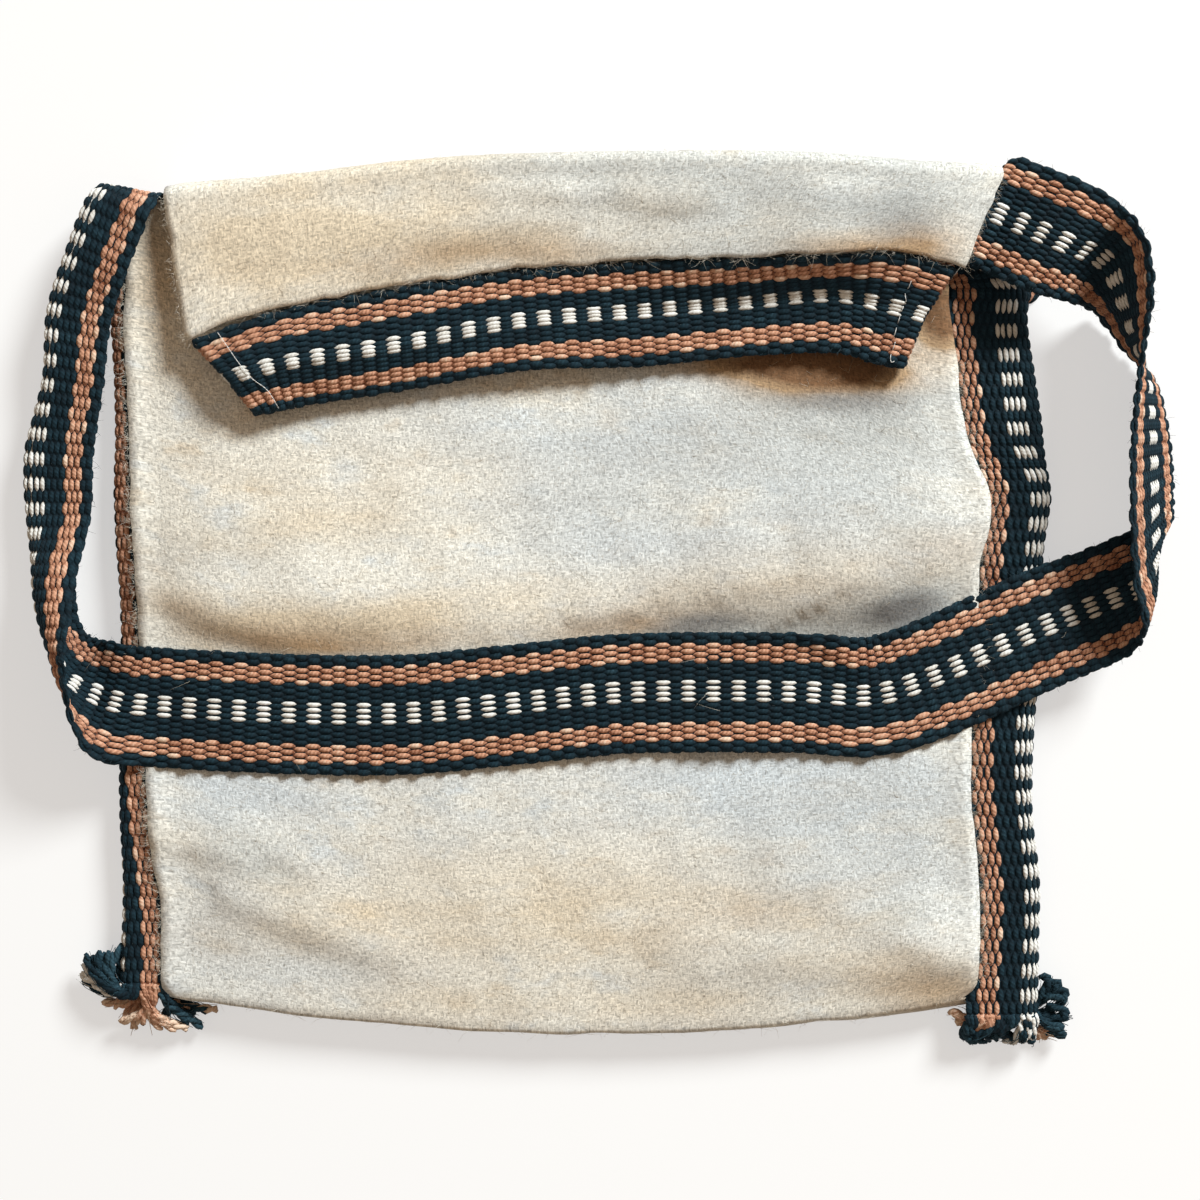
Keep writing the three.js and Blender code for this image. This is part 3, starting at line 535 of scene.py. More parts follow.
def hem_sections(end, following):
    """The trim's end turned under: the section slides back inwards below the band."""
    inward = following - end
    inward[:, 2] = 0
    inward = unit(inward)
    sections = [end + inward * HEM_LENGTH - UP * 2 * HEM_RADIUS]
    for turn in HEM_TURNS:
        out = HEM_RADIUS * math.sin(math.radians(turn))
        drop = HEM_RADIUS * (1 - math.cos(math.radians(turn)))
        sections.append(end - inward * out - UP * drop)
    return sections


def trim_sections(shares):
    main = [trim_section(shares, *station) for station in TRIM_STATIONS]
    return hem_sections(main[0], main[1]) + main + hem_sections(main[-1], main[-2])[::-1]


# Smooth lofts
SAME_PLACE = 1e-4


def loft(sections, steps):
    """Rows of a smooth surface through the sections, with so many steps between two of them."""
    stack = np.array(sections)
    knots = np.concatenate([[2 * stack[0] - stack[1]], stack, [2 * stack[-1] - stack[-2]]])
    share = (np.arange(steps) / steps)[:, None, None]
    rows = []
    for a, b, c, d in zip(knots, knots[1:], knots[2:], knots[3:]):
        before, middle, after = [np.sqrt(np.linalg.norm(q - p, axis=-1, keepdims=True))
                                 for p, q in ((a, b), (b, c), (c, d))]
        middle = np.where(middle < SAME_PLACE, 1, middle)
        before = np.where(before < SAME_PLACE, middle, before)
        after = np.where(after < SAME_PLACE, middle, after)
        leave = ((b - a) / before - (c - a) / (before + middle) + (c - b) / middle) * middle
        arrive = ((c - b) / middle - (d - b) / (middle + after) + (d - c) / after) * middle
        square = 3 * (c - b) - 2 * leave - arrive
        cube = 2 * (b - c) + leave + arrive
        rows.append(b + leave * share + square * share**2 + cube * share**3)
    return np.concatenate(rows + [stack[-1:]])


def arc_length(points):
    """The run along each line of points, in millimetres."""
    steps = np.linalg.norm(np.diff(points, axis=-2), axis=-1)
    return np.concatenate([np.zeros_like(steps[..., :1]), np.cumsum(steps, axis=-1)], axis=-1)


# The band's warp: (colour, ends, width of the stripe), from edge B to edge A
STRIPES = [("navy", 3, 3.6), ("terracotta", 6, 6.5), ("navy", 6, 6.6), ("ladder", 8, 8.2), ("navy", 6, 6.6),
           ("terracotta", 6, 6.5), ("navy", 3, 3.6)]
PICK = 4.43
RINGS_A_PICK = 4
LOFT_STEPS = 14


def warp_ends():
    """Where each warp end runs across the band, how far apart it lies from the next, and its colour."""
    total = sum(width for _, _, width in STRIPES)
    places, spacings, colours = [], [], []
    start = 0
    for colour, count, width in STRIPES:
        for i in range(count):
            places.append((start + (i + 0.5) * width / count) / total)
            spacings.append(width / count)
            if colour == "ladder":
                colours.append("white" if i % 2 == 0 else "navy")
            elif colour == "terracotta" and i in (0, count - 1):
                colours.append("cream")
            else:
                colours.append(colour)
        start += width
    return np.array(places), np.array(spacings), colours


END_PLACES, END_SPACINGS, END_COLOURS = warp_ends()
END_COUNT = len(END_PLACES)
BORDER_ENDS = 2


class Band:
    """The surface of a band at each warp end, in rows that keep step with its picks."""

    def __init__(self, sections_at):
        rows = loft(sections_at(END_PLACES), LOFT_STEPS)
        middle = (rows[:, END_COUNT // 2 - 1] + rows[:, END_COUNT // 2]) / 2
        run = arc_length(middle)
        self.length = run[-1]
        self.picks = round(self.length / PICK)
        at = np.linspace(0, self.length, self.picks * RINGS_A_PICK + 1)
        index = np.clip(np.searchsorted(run, at, side="right") - 1, 0, len(run) - 2)
        share = ((at - run[index]) / (run[index + 1] - run[index]))[:, None, None]
        self.points = lerp(rows[index], rows[index + 1], share)
        self.run = at
        self.along = unit(np.gradient(self.points, axis=0))
        across = np.gradient(self.points, axis=1)
        self.normal = unit(np.cross(across, self.along))
        self.across = np.cross(self.along, self.normal)

    def place(self, run_share, across_share, lift=0.0):
        """A point on the band at shares along it and across it, raised off its face."""
        rows = np.asarray(run_share) * (len(self.run) - 1)
        columns = np.interp(across_share, END_PLACES, np.arange(END_COUNT))
        i = np.clip(np.round(rows).astype(int), 0, len(self.run) - 1)
        j = np.clip(np.floor(columns).astype(int), 0, END_COUNT - 2)
        share = np.asarray(columns - j)[..., None]
        point = lerp(self.points[i, j], self.points[i, j + 1], share)
        return point + self.normal[i, j] * np.asarray(lift)[..., None]


# Meshes
def make_object(name, points, faces, uv=None, tint=None, uv_name="Thread"):
    """An object from points in millimetres and groups of faces, with a UV for each corner."""
    mesh = bpy.data.meshes.new(name)
    mesh.from_pydata((points * MM).tolist(), [], [face for group in faces for face in group.tolist()])
    if uv is not None:
        layer = mesh.uv_layers.new(name=uv_name)
        layer.data.foreach_set("uv", uv.astype(np.float32).ravel())
    for key, values in (tint or {}).items():
        attribute = mesh.attributes.new(key, "FLOAT", "POINT")
        attribute.data.foreach_set("value", values.astype(np.float32))
    mesh.validate()
    mesh.shade_smooth()
    made = bpy.data.objects.new(name, mesh)
    bpy.context.scene.collection.objects.link(made)
    return made


def tube_rings(centres, axis_a, axis_b, half_a, half_b, sides):
    turn = 2 * math.pi * np.arange(sides) / sides
    return (centres[..., None, :]
            + (half_a[..., None] * np.cos(turn))[..., None] * axis_a[..., None, :]
            + (half_b[..., None] * np.sin(turn))[..., None] * axis_b[..., None, :])


def make_tubes(name, rings, along, tint):
    """Closed tubes from rings of points (tube, ring, side); along is the run at each ring in millimetres."""
    tubes, count, sides, _ = rings.shape
    index = np.arange(tubes * count * sides).reshape(tubes, count, sides)
    ahead = np.roll(index, -1, axis=2)
    walls = np.stack([index[:, :-1], ahead[:, :-1], ahead[:, 1:], index[:, 1:]], axis=-1).reshape(-1, 4)
    caps = np.concatenate([index[:, 0, ::-1], index[:, -1]])
    run = np.broadcast_to(along, (tubes, count))[..., None]
    low, high = run[:, :-1], run[:, 1:]
    first = np.arange(sides) / sides
    second = first + 1 / sides
    corners = ((low, first), (low, second), (high, second), (high, first))
    wall_uv = np.stack([np.stack(np.broadcast_arrays(*corner), axis=-1) for corner in corners], axis=-2)
    uv = np.concatenate([wall_uv.reshape(-1, 2), np.zeros((caps.size, 2))])
    tints = np.broadcast_to(tint[..., None], (tubes, count, sides)).ravel()
    return make_object(name, rings.reshape(-1, 3), [walls, caps], uv, {"tint": tints})


def free_tubes(name, centres, radii, tint, sides):
    """Round tubes along free lines of points (tube, ring)."""
    tangent = unit(np.gradient(centres, axis=1))
    level = np.where(np.abs(tangent[..., 2:]) > 0.9, vec(1, 0, 0), UP)
    axis_a = unit(np.cross(tangent, level))
    axis_b = np.cross(tangent, axis_a)
    rings = tube_rings(centres, axis_a, axis_b, radii, radii, sides)
    return make_tubes(name, rings, arc_length(centres), tint)


# Seeds of the random draws
SEEDS = {"nap_lumps": 11, "waves": 12, "edges": 13, "hem": 14, "strap": 21, "trim": 31, "fringe": 41,
         "wool_nap": 51, "strap_fuzz": 61, "trim_fuzz": 62, "strap_strays": 71}


def draws(name):
    return np.random.default_rng(SEEDS[name])


def soft_noise(rows, columns, step, rng):
    """Smooth random heights between -1 and 1 on a grid, with features about step cells wide."""
    coarse = rng.uniform(-1, 1, (rows // step + 3, columns // step + 3))
    i, p = np.divmod(np.arange(rows) / step, 1)
    j, q = np.divmod(np.arange(columns) / step, 1)
    i = i.astype(int)[:, None]
    j = j.astype(int)[None, :]
    p = (p * p * (3 - 2 * p))[:, None]
    q = (q * q * (3 - 2 * q))[None, :]
    near = lerp(coarse[i, j], coarse[i, j + 1], q)
    far = lerp(coarse[i + 1, j], coarse[i + 1, j + 1], q)
    return lerp(near, far, p)


def lumpy_noise(rows, columns, step, share, rng):
    """Soft noise with a share of a finer one of half its step."""
    return soft_noise(rows, columns, step, rng) + share * soft_noise(rows, columns, step // 2, rng)


# Materials
def srgb(red, green, blue):
    def linear(level):
        share = level / 255
        return share / 12.92 if share <= 0.04045 else ((share + 0.055) / 1.055) ** 2.4

    return (linear(red), linear(green), linear(blue), 1.0)


def new_material(name):
    made = bpy.data.materials.new(name)
    made.use_nodes = True
    return made


def set_inputs(owner, made, inputs):
    """Link or set a node's inputs in the material or world that owns it."""
    for key, value in dict(inputs).items():
        if isinstance(value, bpy.types.NodeSocket):
            owner.node_tree.links.new(value, made.inputs[key])
        else:
            made.inputs[key].default_value = value


def node(owner, kind, inputs=(), **settings):
    made = owner.node_tree.nodes.new("ShaderNode" + kind)
    for key, value in settings.items():
        setattr(made, key, value)
    set_inputs(owner, made, inputs)
    return made


def math_node(owner, operation, a, b=0.0, c=0.0, clamp=False):
    return node(owner, "Math", {0: a, 1: b, 2: c}, operation=operation, use_clamp=clamp).outputs[0]


def scaled(material, value, factor, plus, clamp=False):
    return math_node(material, "MULTIPLY_ADD", value, factor, plus, clamp)


def swung(material, level, noise_value, amount, clamp=False):
    """A level that noise pushes up and down."""
    return scaled(material, math_node(material, "SUBTRACT", noise_value, 0.5), amount, level, clamp)


def mix(material, factor, a, b):
    return node(material, "Mix", {0: factor, 6: a, 7: b}, data_type="RGBA").outputs[2]


def attribute(material, name):
    return node(material, "Attribute", attribute_name=name).outputs["Fac"]


def noise(material, vector, scale, detail=3.0, roughness=0.6, distortion=0.0, output="Fac"):
    inputs = {"Vector": vector, "Scale": scale, "Detail": detail, "Roughness": roughness,
              "Distortion": distortion}
    return node(material, "TexNoise", inputs).outputs[output]


def shader_of(material):
    return material.node_tree.nodes["Principled BSDF"]


def finish_cloth(material, colour, height, bump, roughness, sheen, sheen_tint):
    """Set a cloth's colour, bump in metres, roughness and sheen on its shader."""
    normal = node(material, "Bump", {"Height": height, "Distance": bump, "Strength": 1.0}).outputs[0]
    set_inputs(material, shader_of(material), {
        "Base Color": colour, "Normal": normal, "Roughness": roughness, "Specular IOR Level": 0.2,
        "Sheen Weight": sheen, "Sheen Roughness": 0.5, "Sheen Tint": sheen_tint,
    })
    return material


TWIST_PITCH = 1.5
FIBRE_SCALE = 2.2
FIBRE_STRETCH = (0.6, 6.0, 1.0)
YARN_PATCH_SCALE = 90.0
YARN_BUMP = 0.00012
YARN_SHEEN = 0.1
STRIPE_SHARE = 0.1
FIBRE_SHARE = 0.9
PATCH_SHARE = 0.5
STRIPE_HEIGHT = 0.35


def yarn_material(name, dark, middle, light):
    """Plied yarn: twist stripes along it, fibres, and a tint of its own for each float."""
    made = new_material(name)
    thread = node(made, "UVMap", uv_map="Thread").outputs[0]
    turns = node(made, "VectorMath", {0: thread, 1: (1 / TWIST_PITCH, 2.0, 0.0)},
                 operation="DOT_PRODUCT").outputs["Value"]
    stripe = math_node(made, "SINE", math_node(made, "MULTIPLY", turns, 2 * math.pi))
    stretched = node(made, "Mapping", {"Vector": thread, "Scale": FIBRE_STRETCH}).outputs[0]
    fibre = noise(made, stretched, FIBRE_SCALE)
    patch = noise(made, node(made, "TexCoord").outputs["Object"], YARN_PATCH_SCALE)
    level = scaled(made, stripe, STRIPE_SHARE, attribute(made, "tint"))
    level = swung(made, level, fibre, FIBRE_SHARE)
    level = swung(made, level, patch, PATCH_SHARE)
    ramp = node(made, "ValToRGB", {"Fac": level})
    ramp.color_ramp.elements[0].color = dark
    ramp.color_ramp.elements[1].color = light
    ramp.color_ramp.elements.new(0.5).color = middle
    height = scaled(made, stripe, STRIPE_HEIGHT, fibre)
    roughness = scaled(made, fibre, 0.25, 0.7)
    return finish_cloth(made, ramp.outputs[0], height, YARN_BUMP, roughness, YARN_SHEEN, light)


HAIR_SPECK_SCALE = 400.0
HAIR_BUMP = 0.00002
HAIR_SHEEN = 0.3


def hair_material(name, dark, light):
    """Single loose fibres, each with its own tint."""
    made = new_material(name)
    speck = noise(made, node(made, "TexCoord").outputs["Object"], HAIR_SPECK_SCALE)
    level = swung(made, attribute(made, "tint"), speck, 0.6, clamp=True)
    roughness = scaled(made, speck, 0.3, 0.6)
    return finish_cloth(made, mix(made, level, dark, light), speck, HAIR_BUMP, roughness, HAIR_SHEEN, light)


WOOL_PALE = srgb(238, 235, 225)
WOOL_COOL = srgb(218, 226, 231)
WOOL_GREY = srgb(198, 201, 199)
WOOL_TAN = srgb(230, 215, 190)
WOOL_BROWN = srgb(184, 155, 122)
WOOL_PAINTED_SHADOW_BROWN = srgb(118, 84, 57)
WOOL_PAINTED_SHADE_GREY = srgb(124, 124, 124)
WOOL_GAP = srgb(140, 124, 102)
WOOL_SPECK = srgb(104, 86, 70)
BASKET_CELL = 1.7
BASKET_WOBBLE = 2.4
BASKET_TURN = 12
FLOAT_ALONG = 0.42
FLOAT_ACROSS = 1.45
FIBRE_TURN = 40
WOOL_BUMP = 0.00004
WOOL_SHEEN = 0.1
WOOL_SHEEN_TINT = (1.0, 0.97, 0.92, 1.0)

# Noise in the wool: (scale, detail, roughness, distortion)
WOBBLE_NOISE = (0.3, 2.0, 0.5, 0.0)
FLOAT_NOISE = (1.0, 1.0, 0.5, 0.0)
FIBRE_NOISE = (1.0, 4.0, 0.75, 0.0)
CURL_NOISE = (0.4, 3.0, 0.65, 2.5)
BLOTCH_NOISE = (1.0, 5.0, 0.62, 0.0)
SMEAR_NOISE = (1.0, 4.0, 0.6, 0.0)
PIT_NOISE = (0.85, 1.0, 0.5, 0.0)
SPECK_NOISE = (0.55, 1.0, 0.5, 0.0)
# Its blotches and smears: (turn in degrees, scale across the cloth, scale along it)
BLOTCH_STRETCH = (4, 0.018, 0.05)
SMEAR_STRETCH = (10, 0.04, 0.075)
# Ranges: (value from, value to, strength from, strength to)
PAINTED_SHADOW_RANGE = (0.9, 1.9, 0.0, 0.9)
PIT_RANGE = (0.6, 0.74, 0.0, 0.4)
BRIGHT_RANGE = (0.1, 0.9, 0.56, 1.36)
SPECK_RANGE = (0.78, 0.84, 0.0, 0.7)

# Small smears under the colour patches: (noise where it starts, where it is full, strength, colour)
WOOL_SMEARS = [(0.54, 0.7, 0.6, WOOL_TAN), (0.6, 0.76, 0.4, WOOL_BROWN), (0.46, 0.32, 0.7, WOOL_COOL)]
# Colour patches, some of them painted shade: (attribute, colour, how far noise moves their edges), and the
# slate grey and umber brown that the strongest grey and brown turn to, which are painted shade and shadow
WOOL_PATCHES_AND_SHADE = [("cool", WOOL_COOL, 0.4), ("grey", WOOL_GREY, 0.1), ("tan", WOOL_TAN, 0.18),
               ("brown", WOOL_BROWN, 0.05)]
PAINTED_SHADOWS = [("grey", WOOL_PAINTED_SHADE_GREY), ("brown", WOOL_PAINTED_SHADOW_BROWN)]


def wool_material():
    """Napped basket weave: short floats both ways under loose fibres, with colour patches, painted shade and
    shadow, and a few dark specks.
    """
    made = new_material("wool_cloth_look")
    cloth = node(made, "UVMap", uv_map="Cloth").outputs[0]

    def stretched(turn, along, across):
        mapping = {"Vector": cloth, "Rotation": (0.0, 0.0, math.radians(turn)), "Scale": (along, across, 1.0)}
        return node(made, "Mapping", mapping).outputs[0]

    def ranged(value, low, high, to_low, to_high):
        inputs = {"Value": value, "From Min": low, "From Max": high, "To Min": to_low, "To Max": to_high}
        return node(made, "MapRange", inputs).outputs[0]

    turned = stretched(BASKET_TURN, 1.0, 1.0)
    wobble = noise(made, turned, *WOBBLE_NOISE, output="Color")
    pushed = node(made, "VectorMath", {0: wobble, 1: (BASKET_WOBBLE, BASKET_WOBBLE, 0.0), 2: turned},
                  operation="MULTIPLY_ADD").outputs[0]
    cells = node(made, "TexChecker", {"Vector": pushed, "Scale": 1 / BASKET_CELL}).outputs["Fac"]
    warp = noise(made, stretched(BASKET_TURN, FLOAT_ACROSS, FLOAT_ALONG), *FLOAT_NOISE)
    weft = noise(made, stretched(BASKET_TURN, FLOAT_ALONG, FLOAT_ACROSS), *FLOAT_NOISE)
    basket = node(made, "Mix", {0: cells, 2: warp, 3: weft}, data_type="FLOAT").outputs[0]
    fibre = noise(made, stretched(FIBRE_TURN, 1.0, 1.0), *FIBRE_NOISE)
    curl = noise(made, cloth, *CURL_NOISE)
    level = scaled(made, basket, 1.5, -0.9)
    level = scaled(made, fibre, 0.8, level)
    level = scaled(made, curl, 0.5, level)

    blotch = noise(made, stretched(*BLOTCH_STRETCH), *BLOTCH_NOISE)
    ragged = ranged(blotch, 0.25, 0.75, -1.0, 1.0)
    smear = noise(made, stretched(*SMEAR_STRETCH), *SMEAR_NOISE)
    colour = WOOL_PALE
    for low, high, most, shade in WOOL_SMEARS:
        colour = mix(made, ranged(smear, low, high, 0.0, most), colour, shade)
    for name, shade, reach in WOOL_PATCHES_AND_SHADE:
        strength = attribute(made, name)
        swing = math_node(made, "MULTIPLY", ragged, scaled(made, strength, 0.6, reach))
        colour = mix(made, math_node(made, "ADD", strength, swing, clamp=True), colour, shade)
    # Painted shade and shadow: where the grey or brown strength passes 0.9 the wool turns slate grey or umber
    # brown.
    for name, shade in PAINTED_SHADOWS:
        colour = mix(made, ranged(attribute(made, name), *PAINTED_SHADOW_RANGE), colour, shade)
    pits = noise(made, cloth, *PIT_NOISE)
    colour = mix(made, ranged(pits, *PIT_RANGE), colour, WOOL_GAP)
    bright = ranged(level, *BRIGHT_RANGE)
    colour = node(made, "VectorMath", {0: colour, "Scale": bright}, operation="SCALE").outputs[0]
    speck = noise(made, cloth, *SPECK_NOISE)
    colour = mix(made, ranged(speck, *SPECK_RANGE), colour, WOOL_SPECK)
    roughness = scaled(made, fibre, 0.1, 0.88)
    return finish_cloth(made, colour, level, WOOL_BUMP, roughness, WOOL_SHEEN, WOOL_SHEEN_TINT)


NAVY = yarn_material("navy_yarn", srgb(5, 18, 25), srgb(17, 41, 51), srgb(52, 80, 92))
TERRACOTTA = yarn_material("terracotta_yarn", srgb(116, 66, 42), srgb(209, 156, 127), srgb(236, 210, 186))
WHITE = yarn_material("white_yarn", srgb(182, 175, 164), srgb(232, 230, 224), srgb(245, 245, 243))
WOOL = wool_material()
PALE_HAIR = hair_material("pale_hair", srgb(172, 154, 126), srgb(242, 237, 225))
DARK_HAIR = hair_material("dark_hair", srgb(16, 30, 38), srgb(66, 84, 92))


def dress(piece, material):
    piece.data.materials.append(material)
    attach(piece, "root")
    return piece


# Wool cloth: front panel, bottom fold, back panel, top fold and flap as one sheet
CLOTH_COLUMNS = 112
FRONT_ROWS = 100
BACK_ROWS = 90
FLAP_ROWS = 20
FOLD_ROWS = 12
SIDE_LAP = 3.4
SIDE_LAP_LIFT = 2.0
SIDE_LAP_REACH = 7
FLAP_LAP = 1.3
FLAP_LAP_LIFT = 1.0
FLAP_LAP_REACH = 0.4
RIM_THICKNESS = 0.45
NAP_LUMP = 0.132
NAP_LUMP_STEP = 4
NAP_LUMP_FINE = 2 / 3
NAP_RIM_CELLS = 3
BOTTOM_ROUND = 0.2
TOP_ROUND = 0.5
CORNER_LIFT = 2.2
CORNER_REACH = 0.12
WAVE = 0.55
WAVE_STEP = 10
WAVE_FINE = 0.5
FRONT_FADE_ROWS = 8
FLAP_FADE_ROWS = 6
SIDE_LAP_END = 0.985
EDGE_WANDER = 0.5
EDGE_WANDER_STEP = 4
EDGE_WANDER_FINE = 0.7
EDGE_WANDER_REACH = 9
HEM_WANDER = 0.6
HEM_WANDER_ROWS = 5
HEM_WANDER_STEP = 2
BOTTOM_WANDER = 0.7
BOTTOM_WANDER_ROWS = 14
BOTTOM_WANDER_STEP = 6

# Soft folds of the flap, in millimetres: (reach below, reach above, line)
FLAP_FOLDS = [
    (11, 14, [(-104, 121, 1.2), (-62, 129, 3.2), (-20, 132.5, 2.8), (10, 133, 1.0)]),
    (4, 6, [(-46, 144, 0.7), (-14, 142, 1.5), (14, 143, 0.8)]),
    (4, 6, [(8, 139, 0.6), (26, 138, 1.3), (44, 139, 0.4)]),
]
FLAP_TOP_LIFT = 0.85


def cloth_bottom(u):
    return bottom_tangent(u) - (1 - BOTTOM_ROUND) * BOTTOM_RADIUS


def cloth_top(u):
    return top_tangent(u) + (1 - TOP_ROUND) * TOP_RADIUS


def fold_rows(u, y, start, end, reach):
    """Rows round a fold between two lines, each given as its left x, right x and height."""
    rows = []
    for turn in np.linspace(0, math.pi, FOLD_ROWS + 1)[1:-1]:
        left, right, z = [lerp(a, b, (1 - math.cos(turn)) / 2) for a, b in zip(start, end)]
        row = np.broadcast_arrays(lerp(left, right, u), y + reach * math.sin(turn), z)
        rows.append(np.stack(row, axis=-1))
    return rows


def front_rows(u):
    """The front panel from its mouth down, its sides lapped over the gussets."""
    lap = 1 - smooth_step(PANEL_WIDTH * np.minimum(u, 1 - u), 0, SIDE_LAP_REACH)
    outward = np.where(u < 0.5, -1, 1) * lap
    rows = []
    for down in np.linspace(0, 1, FRONT_ROWS + 1):
        y = lerp(mouth_edge(u), cloth_bottom(u), down)
        x = lerp(front_left(y[0]), front_right(y[-1]), u)
        lapped = 1 - smooth_step(down, SIDE_LAP_END, 1)
        corner = CORNER_LIFT * (1 - smooth_step(u + down, 0, CORNER_REACH))
        z = front_mid_z(x, y) + SIDE_LAP_LIFT * lap * lapped + corner
        rows.append(np.stack([x + SIDE_LAP * outward * lapped, y, z], axis=-1))
    return rows


def back_rows(u):
    rows = []
    for upward in np.linspace(0, 1, BACK_ROWS + 1):
        y = lerp(cloth_bottom(u), cloth_top(u), upward)
        x = lerp(back_left(y[0]), back_right(y[-1]), u)
        rows.append(np.stack([x, y, np.full_like(u, BACK_Z)], axis=-1))
    return rows


def flap_rows(u, edge, top_z):
    rows = []
    for down in np.linspace(0, 1, FLAP_ROWS + 1):
        lap = smooth_step(down, 1 - FLAP_LAP_REACH, 1)
        x = lerp(lerp(flap_left(0), flap_right(0), u), edge[:, 0], down)
        y = lerp(cloth_top(u), edge[:, 1], down) - FLAP_LAP * lap
        folds = sum(ridge(x, y, *fold) for fold in FLAP_FOLDS)
        z = lerp(top_z, edge[:, 2], down) + FLAP_LAP_LIFT * lap + folds * (1 - down**4)
        rows.append(np.stack([x, y, z], axis=-1))
    return rows


def cloth_points(u):
    """The cloth's middle surface in rows, and the row where each of its five stretches ends."""
    low = cloth_bottom(u)
    high = cloth_top(u)
    edge = flap_edge(u)
    top_z = FLAP_Z + FLAP_TOP_LIFT * (edge[:, 2] - FLAP_Z)
    front_low = (front_left(low[0]), front_right(low[-1]), FRONT_Z)
    back_low = (back_left(low[0]), back_right(low[-1]), BACK_Z)
    back_high = (back_left(high[0]), back_right(high[-1]), BACK_Z)
    flap_high = (flap_left(0), flap_right(0), top_z)
    stretches = [
        front_rows(u),
        fold_rows(u, low, front_low, back_low, -BOTTOM_ROUND * BOTTOM_RADIUS),
        back_rows(u),
        fold_rows(u, high, back_high, flap_high, TOP_ROUND * TOP_RADIUS),
        flap_rows(u, edge, top_z),
    ]
    return np.concatenate(stretches), np.cumsum([len(rows) for rows in stretches]).tolist()


# Patches of colour on the wool: (x, y, half width, half height, turn in degrees, strength). Some are painted
# shade and shadow: the tan, grey and brown along the strap's upper edge partly paint the shade of the folds
# there, the tan and brown beside the flap's left edge partly paint the shade under flap and strap, and the
# grey and brown under the right half of the trim and at the front's right top corner beside the gusset are
# painted shadow.
FRONT_PATCHES_AND_SHADE = {
    "tan": [(-97, 41, 62, 15, 0, 0.4), (-62, -6, 48, 9, 6, 1.0), (-112, -9, 36, 8, -4, 0.9),
            (-150, 0, 18, 7, -12, 0.3), (-105, 24, 55, 9, 0, 0.4), (-22, -111, 105, 20, 0, 0.7),
            (104, -133, 38, 11, -8, 0.8), (55, 8, 50, 13, 8, 0.4), (-106, -117, 36, 10, 10, 0.3),
            (-20, -143, 120, 7, 0, 0.45), (-156, 118, 16, 34, 0, 0.7)],
    "brown": [(-66, -14, 34, 5, 4, 0.5), (8, -10, 26, 5, 5, 0.7), (46, 2, 36, 8, 10, 0.2),
              (-40, -149, 130, 4, 0, 0.1), (-157, 120, 11, 22, 0, 0.35), (122, 101, 10, 11, 0, 2.8),
              (80, 82, 24, 8, 0, 3.4), (52, 84, 26, 4, 0, 1.2), (-106, -15, 34, 6, -4, 0.6),
              (-150, -2, 14, 5, -14, 0.35), (110, 14, 30, 7, 14, 0.3), (114, -137, 22, 8, -8, 0.6),
              (42, -114, 30, 8, 8, 0.3)],
    "cool": [(10, 60, 70, 22, 0, 0.8), (-130, -66, 45, 14, 0, 0.9), (60, -66, 60, 14, 0, 1.0),
             (-130, 18, 40, 9, 0, 0.1), (90, 40, 40, 25, 0, 0.7), (-118, -122, 50, 34, 0, 0.9),
             (92, -102, 52, 42, 0, 1.0), (-35, -72, 45, 14, 0, 0.35), (40, 16, 50, 12, 6, 0.5),
             (-4, 26, 46, 16, 0, 0.6)],
    "grey": [(95, -85, 45, 30, 0, 0.4), (100, 40, 30, 30, 0, 0.4), (106, -4, 22, 7, 14, 1.7),
             (54, -8, 42, 5, 5, 0.9), (48, 56, 70, 24, 0, 0.45), (100, 62, 36, 14, 0, 0.5),
             (108, 10, 14, 20, 0, 0.5), (-105, 24, 60, 9, 0, 0.3), (-118, -95, 28, 10, -40, 0.9),
             (46, -113, 30, 9, 8, 0.4), (34, -7, 24, 6, 8, 1.3), (16, 34, 34, 10, 0, 0.3),
             (106, -111, 14, 6, 0, 0.8), (72, -122, 22, 10, 0, 0.4), (84, 71, 32, 5, 0, 1.1)],
}
# On the flap the grey along the top fold is painted shade on a face the lamp lights strongly, and the brown
# above the middle of the trim is painted shade where the flap curls down to it.
FLAP_PATCHES_AND_SHADE = {
    "tan": [(-100, 124, 80, 34, 8, 1.0), (100, 122, 34, 9, 0, 0.3), (-10, 124, 60, 8, 8, 0.3)],
    "brown": [(-66, 119, 26, 5, 10, 0.6), (-136, 112, 24, 5, 12, 0.1), (113, 125, 15, 7, 0, 0.9),
              (90, 121, 26, 5, 0, 0.55), (-24, 121, 24, 5, 4, 0.6)],
    "cool": [(60, 134, 60, 12, 0, 1.0), (-30, 146, 70, 8, 0, 0.4)],
    "grey": [(60, 130, 90, 30, 0, 0.95), (-40, 151, 80, 7, 0, 0.9), (-48, 140, 80, 7, 0, 0.3),
             (106, 140, 20, 16, 0, 0.4), (106, 129, 14, 6, 0, 0.5)],
}
BACK_STAINS = {
    "tan": [(-60, 60, 70, 24, 10, 0.6), (50, -40, 60, 30, -15, 0.5), (20, 110, 90, 12, 0, 0.5)],
    "brown": [(-30, -120, 70, 8, 0, 0.3)],
    "cool": [(40, 40, 60, 40, 0, 0.7), (-80, -60, 50, 30, 0, 0.7)],
    "grey": [(0, 0, 60, 60, 0, 0.3)],
}


def spot_strength(points, spots):
    total = np.zeros(points.shape[:2])
    for x, y, half_width, half_height, turn, strength in spots:
        cosine = math.cos(math.radians(turn))
        sine = math.sin(math.radians(turn))
        dx = points[..., 0] - x
        dy = points[..., 1] - y
        far = ((dx * cosine + dy * sine) / half_width) ** 2 + ((dy * cosine - dx * sine) / half_height) ** 2
        total += strength * np.exp(-far)
    return total


